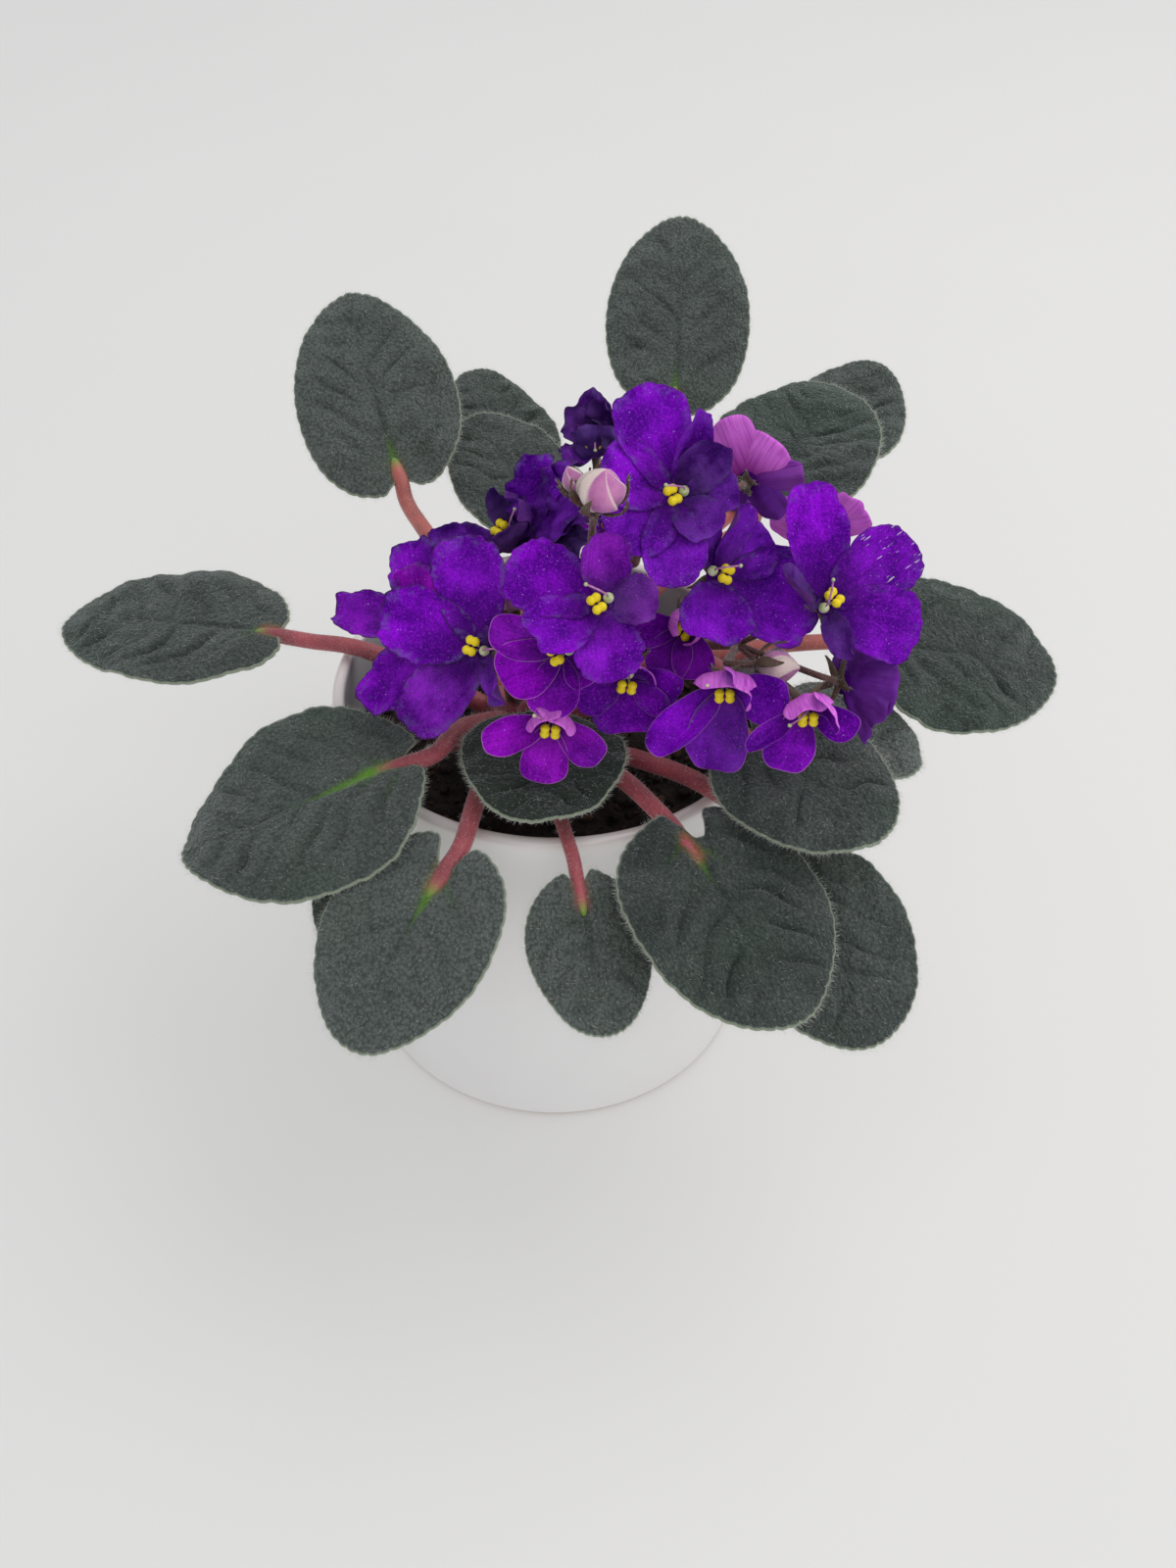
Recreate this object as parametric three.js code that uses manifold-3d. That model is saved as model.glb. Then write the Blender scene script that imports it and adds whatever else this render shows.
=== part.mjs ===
// A potted African violet: a straight glazed pot filled with soil, a rosette of leaves whose stalks
// all grow from one short stem, and a head of violet blooms and pink buds above them.
// Millimetres and degrees, +Z up. The origin is the centre of the pot's underside, and the front of
// the plant is towards -Y.

import * as THREE from "three";
import { mergeVertices } from "three/addons/utils/BufferGeometryUtils.js";
import Module from "manifold-3d";

const wasm = await Module();
wasm.setup();

// Driving dimensions.

const gap = 0.3; // left between touching pieces

const pot = {
  height: 120,
  rimRadius: 60,
  baseRadius: 59,
  wall: 3.5,
  floor: 5,
  lip: 1.7,
  foot: 1.2,
  sides: 36,
};

// rings: the radii of the top's rings of points, as shares of the soil's own radius.
const soil = {
  level: 98,
  fillet: 3,
  bump: 1.3,
  bumpWidth: 7,
  mound: 3,
  moundWidth: 22,
  rings: [0.82, 0.62, 0.42, 0.2, 0],
};

const stem = { x: -11, y: 0, bottom: 86, top: 113, bottomRadius: 6.4, topRadius: 7.6, sides: 8 };

// A blade is a thin sheet with a scalloped edge and a rib under its midline. Its notch, where the
// stalk ends, is at the local origin, and the tip is along +X. The lobes reach back past the notch.
const leafBlade = {
  thickness: 0.9,
  scallop: 0.014,
  egg: 0.12,
  notch: 0.17,
  ease: 0.15,
  rib: 2.4,
  ribWidth: 2,
  ribReach: 0.8,
  rings: [10, 20, 40],
};

// The stalks start off the stem's middle by a share of its radius.
const leafStalk = {
  crownRadius: 2.8,
  bladeRadius: 2.2,
  offset: 0.55,
  drop: 2,
  straight: 8,
  arch: 5,
  sides: 5,
  steps: 4,
};

// at: the notch. heading: the way the tip points, 0 along +X and 90 along +Y. pitch: how far the tip
// rises. roll: how far the left side rises. cup lifts the edges, bend lifts the tip, wave ripples the
// edge (mm). from: the height where the stalk leaves the stem. arch: how far it bows upwards.
const leaves = [
  {
    name: "left", at: [-76, 13, 125], heading: 168, pitch: -4, roll: -6, length: 66, width: 44,
    lobe: 0.03, bend: -3, from: 107,
  },
  {
    name: "back_left", at: [-48, 69, 138], heading: 112, pitch: 30, roll: -12, length: 62, width: 48,
    lobe: 0.08, bend: 2, from: 109,
  },
  {
    name: "back_left_low", at: [-12, 92, 124], heading: 112, pitch: 10, roll: 0, length: 55,
    width: 34, from: 104, arch: 13,
  },
  {
    name: "back", at: [-4, 58, 129], heading: 118, pitch: 11, roll: -5, length: 54, width: 37,
    cup: 2, from: 108,
  },
  {
    name: "back_raised", at: [34, 113, 138], heading: 88, pitch: 34, roll: 0, length: 66, width: 46,
    lobe: 0.04, bend: 2, from: 110,
  },
  {
    name: "back_right_low", at: [80, 100, 127], heading: 66, pitch: 12, roll: 0, length: 51,
    width: 39, from: 104, arch: 16,
  },
  {
    name: "back_right", at: [57, 62, 137], heading: 62, pitch: 10, roll: 0, length: 60, width: 50,
    cup: 2, from: 109,
  },
  {
    name: "right", at: [84, 9, 130], heading: 3, pitch: -10, roll: 16, length: 56, width: 50,
    bend: -2, from: 108,
  },
  {
    name: "right_low", at: [62, -10, 123], heading: -20, pitch: -12, roll: 6, length: 38, width: 30,
    from: 102, arch: 19,
  },
  {
    name: "front_right", at: [49, -34, 134], heading: -48, pitch: -1, roll: 6, length: 44, width: 41,
    lobe: 0.1, from: 110,
  },
  {
    name: "front_right_low", at: [33, -65, 128], heading: -58, pitch: -14, roll: 0, length: 50,
    width: 48, lobe: 0.18, bend: -3, from: 106,
  },
  {
    name: "front_right_under", at: [57, -62, 121], heading: -63, pitch: -22, roll: 0, length: 50,
    width: 44, from: 103, arch: 8,
  },
  {
    name: "front_small", at: [8, -74, 122], heading: -77, pitch: -26, roll: 0, length: 36, width: 29,
    lobe: 0.1, from: 103, stalk: 0.75,
  },
  {
    name: "front_left", at: [-24, -72, 124], heading: -120, pitch: -25, roll: 0, length: 46,
    width: 43, lobe: 0.19, bend: -2, from: 105,
  },
  {
    name: "left_low", at: [-36, -43, 131], heading: -160, pitch: -15, roll: -6, length: 58,
    width: 53, lobe: 0.1, wave: 3, from: 109,
  },
  {
    name: "front_inner", at: [-1, -26, 131], heading: -92, pitch: 3, roll: 0, length: 38, width: 40,
    cup: 2, from: 111, stalk: 0.8,
  },
  {
    name: "left_under", at: [-42, -56, 119], heading: -110, pitch: -45, roll: 0, length: 32,
    width: 26, from: 102, arch: 9, stalk: 0.75,
  },
];

// A bloom's throat is at its local origin and faces +Z, with its two small petals towards +Y. middles:
// the way each petal points, counter-clockwise from the top as seen from the front, and halves: how far
// it spreads to either side. clear: how much of that a folded petal may fill. fullness widens a petal
// towards its root, and roundness blunts its tip.
const petal = {
  middles: [36, 110, 180, 250, 324],
  halves: [36, 31, 39, 31, 36],
  clear: 0.97,
  small: 15,
  large: 23,
  root: 2.4,
  cup: 1.2,
  fullness: 2.6,
  roundness: 0.4,
  thickness: 0.8,
  rings: [15, 30],
};

const pistil = {
  ovary: 1.6,
  offset: 1,
  rise: 1.3,
  styleLength: 8,
  styleRadius: 0.45,
  styleLean: 60,
  styleTurn: 40,
};

const anther = { length: 2.1, radius: 1.25, spacing: 1.15, offset: -2.5, rise: 3.4, stub: 0.7, foot: 0.9 };

const calyx = { radius: 2, sepal: 8, budSepal: 1.2, thickness: 1, lean: 0.3, rings: [10] };

// at: the throat. heading and tilt: where the bloom faces. spin: how far its small petals are turned
// clockwise from the top, as seen from its front. size: against the petals above. lifts: how far the
// petals are folded forward: the small pair, right, lower and left. stalk: the one that bears it.
const blooms = [
  {
    name: "left", at: [-16.5, -31.5, 157.5], heading: -112, tilt: 42, spin: 95, size: 1.1,
    lifts: [65, 14, 12, 10], stalk: "left",
  },
  {
    name: "far_left", at: [-32.5, -14.5, 150], heading: -140, tilt: 50, spin: 0, size: 1.05,
    lifts: [20, 15, 10, 10], stalk: "left",
  },
  {
    name: "back_left", at: [-12.5, 5, 164], heading: -120, tilt: 62, spin: 95, size: 0.85,
    lifts: [45, 45, 25, 40], stalk: "left",
  },
  {
    name: "withered", at: [9.5, 33, 174], heading: -100, tilt: 60, spin: 0, size: 0.62,
    lifts: [54, 42, 20, 45], stalk: "back",
  },
  {
    name: "top", at: [28.6, -16.2, 191.8], heading: -80, tilt: 50, spin: 84, size: 0.92,
    lifts: [45, 15, 12, 8], stalk: "back",
  },
  {
    name: "centre", at: [12, -39.5, 177.5], heading: -92, tilt: 52, spin: 55, size: 0.88,
    lifts: [28, 14, 10, 12], stalk: "front",
  },
  {
    name: "front_left", at: [3.5, -40.5, 164.5], heading: -110, tilt: 30, spin: 55, size: 0.72,
    lifts: [66, 28, 10, 26], stalk: "front",
  },
  {
    name: "inner_right", at: [31.5, -21, 157.5], heading: -85, tilt: 35, spin: 35, size: 0.55,
    lifts: [58, 20, 16, 20], stalk: "front",
  },
  {
    name: "right", at: [39, -20.5, 172], heading: -75, tilt: 48, spin: -62, size: 0.97,
    lifts: [60, 14, 10, 14], stalk: "right",
  },
  {
    name: "far_right", at: [64, -28.5, 170.5], heading: -72, tilt: 48, spin: 235, size: 1.08,
    lifts: [65, 14, 12, 10], stalk: "right",
  },
  {
    name: "low_right", at: [41, -43.5, 156.5], heading: -95, tilt: 15, spin: -5, size: 0.75,
    lifts: [70, -5, 10, 26], stalk: "right",
  },
  {
    name: "low_far_right", at: [59.5, -49, 155.5], heading: -85, tilt: 20, spin: 0, size: 0.63,
    lifts: [70, 22, 16, 30], stalk: "right",
  },
  {
    name: "front_low", at: [0.5, -47, 148], heading: -92, tilt: 24, spin: 4, size: 0.6,
    lifts: [64, 20, 18, 20], stalk: "front",
  },
  {
    name: "back_right", at: [48.5, 17.5, 173.5], heading: 60, tilt: -10, spin: 180, size: 0.8,
    lifts: [20, 12, 12, 20], stalk: "back",
  },
  {
    name: "back_far_right", at: [70.5, 26, 152], heading: 60, tilt: 5, spin: 0, size: 0.75,
    lifts: [50, 20, 16, 20], stalk: "right",
  },
  {
    name: "right_turned", at: [70, -35.5, 152.5], heading: 20, tilt: -30, spin: 113, size: 0.63,
    lifts: [62, 20, 20, 20], stalk: "right",
  },
  {
    name: "front_under", at: [18, -36.5, 153.5], heading: -85, tilt: 10, spin: 10, size: 0.75,
    lifts: [62, 6, 10, 4], stalk: "front",
  },
  {
    name: "inner", at: [14, 8, 167], heading: -95, tilt: 50, spin: 20, size: 0.5,
    lifts: [40, 35, 18, 35], stalk: "back",
  },
];

// at: the bud's base. heading and tilt: where its tip points.
const bud = { sides: 8, steps: 5, skew: 0.8, roundness: 0.8 };

const buds = [
  { name: "top", at: [10.3, -28.5, 195.7], heading: -40, tilt: 78, length: 11, radius: 5.8, stalk: "front" },
  { name: "top_small", at: [6, -5.7, 184.3], heading: 150, tilt: 60, length: 7, radius: 3, stalk: "front" },
  { name: "left", at: [-8.7, -17.1, 160.9], heading: -100, tilt: 50, length: 9, radius: 4, stalk: "left" },
  { name: "right", at: [49, -35, 157], heading: -10, tilt: 5, length: 10, radius: 4.6, stalk: "right" },
];

// Flower stalks rise from the stem to a fork. straight: the last stretch of each branch, square to its
// bloom. via: a point on the way.
const flowerStalk = {
  baseRadius: 2,
  forkRadius: 1.6,
  forkKnob: 2.4,
  branchRadius: 0.9,
  straight: 7,
  depth: 5,
  sides: 4,
  steps: 3,
};

const forks = {
  left: { at: [-22, -8, 146], via: [-14, -3, 128] },
  back: { at: [20, 15, 150], via: [-3, 6, 130] },
  front: { at: [8, -24, 146], via: [-6, -6, 128] },
  right: { at: [46, -14, 146], via: [8, -1, 132] },
};

const colours = {
  pot: 0xf1eeec,
  soil: 0x2b211c,
  stem: 0xa9505a,
  leaf: 0x3f4d45,
  petal: 0x5a12b4,
  youngPetal: 0x8a1fb8,
  bud: 0xd692c4,
  anther: 0xf2d21b,
};

// Shared solids.

const rad = THREE.MathUtils.degToRad;

function meshGeometry(positions, triangles) {
  const geometry = new THREE.BufferGeometry();
  geometry.setAttribute("position", new THREE.Float32BufferAttribute(positions.flat(), 3));
  geometry.setIndex(triangles.flat());
  return geometry;
}

// A geometry as a solid whose corners are shared.
function solid(geometry) {
  const bare = geometry.clone();
  bare.deleteAttribute("normal");
  bare.deleteAttribute("uv");
  const merged = mergeVertices(bare, 1e-4);
  const vertProperties = merged.attributes.position.array;
  const triVerts = new Uint32Array(merged.index.array);
  return new wasm.Manifold(new wasm.Mesh({ numProp: 3, vertProperties, triVerts }));
}

function geometryOf(manifold) {
  const { vertProperties, triVerts } = manifold.getMesh();
  const geometry = new THREE.BufferGeometry();
  geometry.setAttribute("position", new THREE.BufferAttribute(vertProperties, 3));
  return geometry.setIndex(new THREE.BufferAttribute(triVerts, 1));
}

function fuse(geometries) {
  const [first, ...rest] = geometries.map(solid);
  return geometryOf(rest.reduce((joined, next) => joined.add(next), first));
}

// A round tube along a smooth curve through points, its radius going from first to last, with flat
// ends square to the curve.
function taperedTube(points, firstRadius, lastRadius, sides, steps) {
  const curve = new THREE.CatmullRomCurve3(points, false, "centripetal");
  const frames = curve.computeFrenetFrames(steps);
  const positions = [];
  const triangles = [];
  for (let i = 0; i <= steps; i++) {
    const centre = curve.getPointAt(i / steps);
    const radius = THREE.MathUtils.lerp(firstRadius, lastRadius, i / steps);
    for (let j = 0; j < sides; j++) {
      const turn = (2 * Math.PI * j) / sides;
      const out = frames.normals[i].clone().multiplyScalar(Math.cos(turn));
      out.addScaledVector(frames.binormals[i], Math.sin(turn));
      positions.push(centre.clone().addScaledVector(out, radius).toArray());
    }
  }
  for (let i = 0; i < steps; i++)
    for (let j = 0; j < sides; j++) {
      const [a, b] = [i * sides + j, i * sides + ((j + 1) % sides)];
      triangles.push([a, b, b + sides], [a, b + sides, a + sides]);
    }
  const last = steps * sides;
  for (let j = 1; j < sides - 1; j++) triangles.push([0, j + 1, j], [last, last + j, last + j + 1]);
  return meshGeometry(positions, triangles);
}

// A thin sheet: rings of points round a centre, each ring with twice the points of the one inside it.
// place(share, turn, face) gives the point at a share of the way out and a turn round the centre, on
// the upper face (0) or the lower one (1). Both faces share their triangles.
function sheet(rings, place) {
  const face = (side) => {
    const points = [place(0, 0, side)];
    rings.forEach((count, ring) => {
      const share = (ring + 1) / rings.length;
      for (let i = 0; i < count; i++) points.push(place(share, (2 * Math.PI * i) / count, side));
    });
    return points;
  };
  const [upper, lower] = [face(0), face(1)];
  const faces = [];
  let inner = 1;
  for (let i = 0; i < rings[0]; i++) faces.push([0, 1 + i, 1 + ((i + 1) % rings[0])]);
  for (let ring = 1; ring < rings.length; ring++) {
    const count = rings[ring - 1];
    const outer = inner + count;
    for (let i = 0; i < count; i++) {
      const [here, next] = [inner + i, inner + ((i + 1) % count)];
      const [a, b, c] = [outer + 2 * i, outer + 2 * i + 1, outer + ((2 * i + 2) % (2 * count))];
      faces.push([here, a, b], [here, b, next], [next, b, c]);
    }
    inner = outer;
  }
  const under = upper.length;
  const triangles = [...faces, ...faces.map(([a, b, c]) => [a + under, c + under, b + under])];
  const edge = rings.at(-1);
  for (let i = 0; i < edge; i++) {
    const [a, b] = [inner + i, inner + ((i + 1) % edge)];
    triangles.push([a, a + under, b + under], [a, b + under, b]);
  }
  return meshGeometry([...upper, ...lower], triangles);
}

// Pot and soil.

// The wall's inner radius at a height, between the foot and the rim.
function innerRadius(height) {
  return THREE.MathUtils.lerp(pot.baseRadius, pot.rimRadius, height / pot.height) - pot.wall;
}

function turned(profile) {
  const points = profile.map(([radius, height]) => new THREE.Vector2(radius, height));
  return new THREE.LatheGeometry(points, pot.sides).rotateX(Math.PI / 2);
}

function potGeometry() {
  const { height, rimRadius, baseRadius, wall, floor, lip, foot } = pot;
  const lipMiddle = rimRadius - wall / 2;
  const profile = [[0, 0], [baseRadius - foot, 0], [baseRadius, foot], [rimRadius, height - lip]];
  for (const turn of [45, 90, 135])
    profile.push([lipMiddle + (wall / 2) * Math.cos(rad(turn)), height - lip + lip * Math.sin(rad(turn))]);
  profile.push([rimRadius - wall, height - lip]);
  profile.push([innerRadius(floor + soil.fillet), floor + soil.fillet]);
  profile.push([innerRadius(floor) - soil.fillet, floor], [0, floor]);
  return solid(turned(profile));
}

// The soil follows the pot's inside, with a bumpy top that rises a little round the stem, and a plain
// hole for the stem.
function soilGeometry() {
  const { level, fillet, bump, bumpWidth, mound, moundWidth, rings } = soil;
  const bottom = pot.floor + gap;
  const profile = [[0, bottom], [innerRadius(bottom) - fillet - gap, bottom]];
  profile.push([innerRadius(bottom + fillet) - gap, bottom + fillet], [innerRadius(level) - gap, level]);
  for (const share of rings) profile.push([innerRadius(level) * share, level]);
  const geometry = turned(profile);
  const position = geometry.attributes.position;
  for (let i = 0; i < position.count; i++) {
    const [x, y, z] = [position.getX(i), position.getY(i), position.getZ(i)];
    if (z < level - gap) continue;
    const ripple = bump * Math.sin(x / bumpWidth + 1) * Math.cos(y / bumpWidth - 0.5);
    const rise = mound * Math.exp(-((x - stem.x) ** 2 + (y - stem.y) ** 2) / moundWidth ** 2);
    position.setZ(i, z + ripple + rise);
  }
  const hole = new THREE.CylinderGeometry(stem.topRadius + gap, stem.topRadius + gap, level, stem.sides);
  hole.rotateX(Math.PI / 2).translate(stem.x, stem.y, stem.bottom - gap + level / 2);
  return solid(geometry).subtract(solid(hole));
}

// Leaves.

// How far a blade's lobes reach back past its notch, given as a share of its length.
function lobeReach({ length, lobe = 0.06 }) {
  return lobe * length;
}

// The edge of a blade, as a point from the blade's centre, at a turn from the tip.
function leafEdge(leaf, turn) {
  const lobe = lobeReach(leaf);
  const half = (leaf.length + lobe) / 2;
  const fromNotch = Math.max(0, Math.abs(turn - Math.PI) - leafBlade.notch);
  const notched = Math.exp(-((fromNotch / leafBlade.ease) ** 2));
  const crest = 1 + leafBlade.scallop * (1 - notched) * Math.cos((turn * leafBlade.rings.at(-1)) / 2);
  const x = half * Math.cos(turn) * crest + lobe * notched;
  const y = (leaf.width / 2) * Math.sin(turn) * (1 - leafBlade.egg * Math.cos(turn)) * crest;
  return [x, y];
}

function leafGeometry(leaf) {
  const { length, width, cup = 0, bend = 0, wave = 0 } = leaf;
  const centre = (length - lobeReach(leaf)) / 2;
  const place = (share, turn, face) => {
    const [edgeX, edgeY] = leafEdge(leaf, turn);
    const [x, y] = [centre + share * edgeX, share * edgeY];
    const ripple = wave * share ** 3 * Math.sin(3 * turn);
    const root = Math.max(x, 0);
    const top = cup * ((2 * y) / width) ** 2 + bend * (root / length) ** 2 + ripple;
    const taper = Math.max(0, 1 - x / (leafBlade.ribReach * length));
    const rib = leafBlade.rib * Math.exp(-((y / leafBlade.ribWidth) ** 2)) * taper;
    return [x, y, top - face * (leafBlade.thickness + rib)];
  };
  return sheet(leafBlade.rings, place);
}

function turnOf(leaf) {
  return new THREE.Euler(rad(leaf.roll), rad(-leaf.pitch), rad(leaf.heading), "ZYX");
}

// The stalk runs from inside the stem to the blade's notch, and ends square to the midline.
function leafStalkGeometry(leaf) {
  const { crownRadius, bladeRadius, drop, straight, sides, steps } = leafStalk;
  const { stalk = 1, arch = leafStalk.arch } = leaf;
  const notch = new THREE.Vector3(...leaf.at);
  const local = (x) => new THREE.Vector3(x, 0, -drop * stalk).applyEuler(turnOf(leaf)).add(notch);
  const [before, end] = [local(-straight), local(-gap)];
  const away = Math.atan2(before.y - stem.y, before.x - stem.x);
  const offset = leafStalk.offset * stem.topRadius;
  const start = new THREE.Vector3(offset * Math.cos(away), offset * Math.sin(away), leaf.from);
  start.add(new THREE.Vector3(stem.x, stem.y, 0));
  const bowed = (share) => {
    const point = start.clone().lerp(before, share);
    return point.setZ(point.z + arch * Math.sin(Math.PI * share ** 1.3));
  };
  const route = [start, bowed(0.3), bowed(0.7), before, end];
  return taperedTube(route, crownRadius * stalk, bladeRadius * stalk, sides, steps);
}

// Blooms and buds.

// The frame of a bloom or bud: local +Z faces heading and tilt, and local +Y is the top, turned
// clockwise by spin as seen from the front.
function facing({ at, heading, tilt, spin = 0 }) {
  const towards = (rise) => {
    const [level, turn] = [Math.cos(rad(rise)), rad(heading)];
    return new THREE.Vector3(level * Math.cos(turn), level * Math.sin(turn), Math.sin(rad(rise)));
  };
  const front = towards(tilt);
  const top = towards(tilt + 90).applyAxisAngle(front, -rad(spin));
  const side = top.clone().cross(front);
  return new THREE.Matrix4().makeBasis(side, top, front).setPosition(...at);
}

// A point of the corolla. Its five petals are joined round the throat, and each folds forward about a
// line across its root: the small pair as one hood, the others each by itself. Seen from the front, no
// petal leaves its own sector, so none can pass through another.
function corollaPoint({ size, lifts: [hood, right, lower, left] }, share, turn, face) {
  const { middles, halves, clear, root, cup, fullness, roundness, thickness } = petal;
  const count = middles.length;
  const along = (turn / (2 * Math.PI)) * count;
  const number = Math.min(Math.floor(along + 1e-6), count - 1);
  const across = 2 * (along - number) - 1;
  const spread = Math.sign(across) * (1 - (1 - Math.abs(across)) ** fullness);
  const lean = rad(halves[number]) * spread;
  const hooded = number === 0 || number === count - 1;
  const reach = (hooded ? petal.small : petal.large) * size;
  const tip = Math.max(0, Math.cos((Math.PI / 2) * across)) ** roundness;
  const distance = share * Math.max(root, reach * tip);
  const hinge = hooded ? 0 : rad(middles[number]);
  const fromHinge = hooded ? rad(middles[number]) + lean : lean;
  const out = distance * Math.cos(fromHinge) - root;
  const folded = Math.max(out, 0);
  const lift = rad([hood, left, lower, right, hood][number]);
  const y = root + Math.min(out, 0) + folded * Math.cos(lift);
  const widest = y * Math.tan(rad(clear * halves[number] * (hooded ? 2 : 1)));
  const x = -distance * Math.sin(fromHinge);
  const depth = Math.min(thickness / Math.cos(lift), thickness + folded * Math.abs(Math.sin(lift)));
  const z = folded * Math.sin(lift) + cup * share * across ** 2 - face * depth;
  const limited = out > 0 ? THREE.MathUtils.clamp(x, -widest, widest) : x;
  return new THREE.Vector3(limited, y, z).applyAxisAngle(new THREE.Vector3(0, 0, 1), hinge).toArray();
}

function bloomGeometry(bloom) {
  const { ovary, offset, rise, styleLength, styleRadius, styleLean, styleTurn } = pistil;
  const corolla = sheet(petal.rings, (share, turn, face) => corollaPoint(bloom, share, turn, face));
  const egg = new THREE.IcosahedronGeometry(ovary).translate(0, offset, rise);
  const style = new THREE.CylinderGeometry(styleRadius, styleRadius, styleLength, 3);
  style.translate(0, styleLength / 2, 0).rotateX(rad(styleLean)).rotateZ(rad(styleTurn));
  style.translate(0, offset, rise);
  return fuse([corolla, egg, style]);
}

function antherGeometry() {
  const { length, radius, spacing, offset, rise, stub, foot } = anther;
  const lobes = [-spacing, spacing].map((x) => {
    const lobe = new THREE.IcosahedronGeometry(1).scale(radius, length, radius);
    return lobe.translate(x, offset, rise);
  });
  const post = new THREE.CylinderGeometry(stub, stub, rise - foot, 3).rotateX(Math.PI / 2);
  return fuse([...lobes, post.translate(0, offset + stub, (rise + foot) / 2)]);
}

// Behind a bloom or bud, a star of five narrow sepals ends the stalk.
function calyxGeometry(frame, front, sepal) {
  const { radius, thickness, lean, rings } = calyx;
  const place = (share, turn, face) => {
    const even = Math.round((turn / (2 * Math.PI)) * rings[0]) % 2 === 0;
    const reach = share * (even ? sepal : radius);
    return [reach * Math.sin(turn), -reach * Math.cos(turn), front - lean * reach - face * thickness];
  };
  return sheet(rings, place).applyMatrix4(frame);
}

// A branch from a fork to the back of a bloom or bud.
function branchGeometry(fork, frame, backset) {
  const { branchRadius, sides, steps, straight } = flowerStalk;
  const behind = (distance) => new THREE.Vector3(0, 0, -distance).applyMatrix4(frame);
  const near = behind(backset + straight);
  const start = new THREE.Vector3(...fork.at);
  const route = [start, start.clone().lerp(near, 0.5), near, behind(backset)];
  return taperedTube(route, branchRadius, branchRadius, sides, steps);
}

// A bud is an egg, blunt at its base.
function budGeometry({ length, radius }) {
  const profile = [];
  for (let i = 0; i <= bud.steps; i++) {
    const share = i / bud.steps;
    const girth = Math.sin(Math.PI * share ** bud.skew) ** bud.roundness;
    profile.push(new THREE.Vector2(radius * girth, length * share));
  }
  profile[0].x = 0;
  profile.at(-1).x = 0;
  return new THREE.LatheGeometry(profile, bud.sides).rotateX(Math.PI / 2);
}

// The stem with everything that grows from it: leaf stalks, flower stalks, branches and sepals.
function stemGeometry() {
  const { x, y, bottom, top, bottomRadius, topRadius, sides } = stem;
  const trunk = new THREE.CylinderGeometry(topRadius, bottomRadius, top - bottom, sides).rotateX(Math.PI / 2);
  const pieces = [trunk.translate(x, y, (top + bottom) / 2)];
  pieces.push(...leaves.map(leafStalkGeometry));
  const { baseRadius, forkRadius, forkKnob, depth, sides: stalkSides, steps } = flowerStalk;
  for (const { at, via } of Object.values(forks)) {
    const route = [new THREE.Vector3(x, y, top - depth), new THREE.Vector3(...via), new THREE.Vector3(...at)];
    pieces.push(taperedTube(route, baseRadius, forkRadius, stalkSides, steps));
    pieces.push(new THREE.IcosahedronGeometry(forkKnob).translate(...at));
  }
  for (const bloom of blooms) {
    const frame = facing(bloom);
    const front = -petal.thickness - gap;
    pieces.push(calyxGeometry(frame, front, calyx.sepal));
    pieces.push(branchGeometry(forks[bloom.stalk], frame, calyx.thickness / 2 - front));
  }
  for (const one of buds) {
    const frame = facing(one);
    pieces.push(calyxGeometry(frame, -gap, one.radius * calyx.budSepal));
    pieces.push(branchGeometry(forks[one.stalk], frame, gap + calyx.thickness / 2));
  }
  return fuse(pieces);
}

// The plant in its pot.

const plant = new THREE.Group();
plant.name = "potted_african_violet";

function addMesh(name, geometry, color, roughness, matrix) {
  const mesh = new THREE.Mesh(geometry, new THREE.MeshStandardMaterial({ color, roughness, metalness: 0 }));
  mesh.name = name;
  if (matrix) mesh.applyMatrix4(matrix);
  plant.add(mesh);
  return mesh;
}

addMesh("pot", geometryOf(potGeometry()), colours.pot, 0.25);
addMesh("soil", geometryOf(soilGeometry()), colours.soil, 1);
addMesh("stem_and_stalks", stemGeometry(), colours.stem, 0.6);

for (const leaf of leaves) {
  const mesh = addMesh("leaf_" + leaf.name, leafGeometry(leaf), colours.leaf, 0.85);
  mesh.position.set(...leaf.at);
  mesh.rotation.copy(turnOf(leaf));
}

for (const bloom of blooms) {
  const frame = facing(bloom);
  const colour = bloom.size < 0.8 ? colours.youngPetal : colours.petal;
  addMesh("bloom_" + bloom.name, bloomGeometry(bloom), colour, 0.7, frame);
  addMesh("anthers_" + bloom.name, antherGeometry(), colours.anther, 0.6, frame);
}

for (const one of buds) addMesh("bud_" + one.name, budGeometry(one), colours.bud, 0.6, facing(one));

export default plant;
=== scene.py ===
# A potted african violet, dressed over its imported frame. Sizes in the dictionaries are millimetres and
# degrees, in the frame's own axes, and makePiece turns them into metres.
import bpy
import numpy as np
from mathutils import Matrix


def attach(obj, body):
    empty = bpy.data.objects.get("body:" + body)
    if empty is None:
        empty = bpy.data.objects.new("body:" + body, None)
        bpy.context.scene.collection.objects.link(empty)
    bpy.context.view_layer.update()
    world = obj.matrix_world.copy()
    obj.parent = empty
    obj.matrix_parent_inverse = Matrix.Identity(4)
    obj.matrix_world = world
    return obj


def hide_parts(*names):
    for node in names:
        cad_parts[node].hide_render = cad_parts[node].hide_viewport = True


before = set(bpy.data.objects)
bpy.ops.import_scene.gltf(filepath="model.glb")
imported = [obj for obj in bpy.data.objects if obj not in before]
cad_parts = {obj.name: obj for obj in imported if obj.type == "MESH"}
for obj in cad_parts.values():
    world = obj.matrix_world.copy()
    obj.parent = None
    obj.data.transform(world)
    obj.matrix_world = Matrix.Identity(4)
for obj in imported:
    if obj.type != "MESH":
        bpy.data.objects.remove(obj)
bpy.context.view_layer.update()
print("frame loaded:", len(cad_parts), "nodes")

metre = 0.001  # metres in a millimetre


def unit(v):
    return v / np.maximum(np.linalg.norm(v, axis=-1, keepdims=True), 1e-9)


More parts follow.
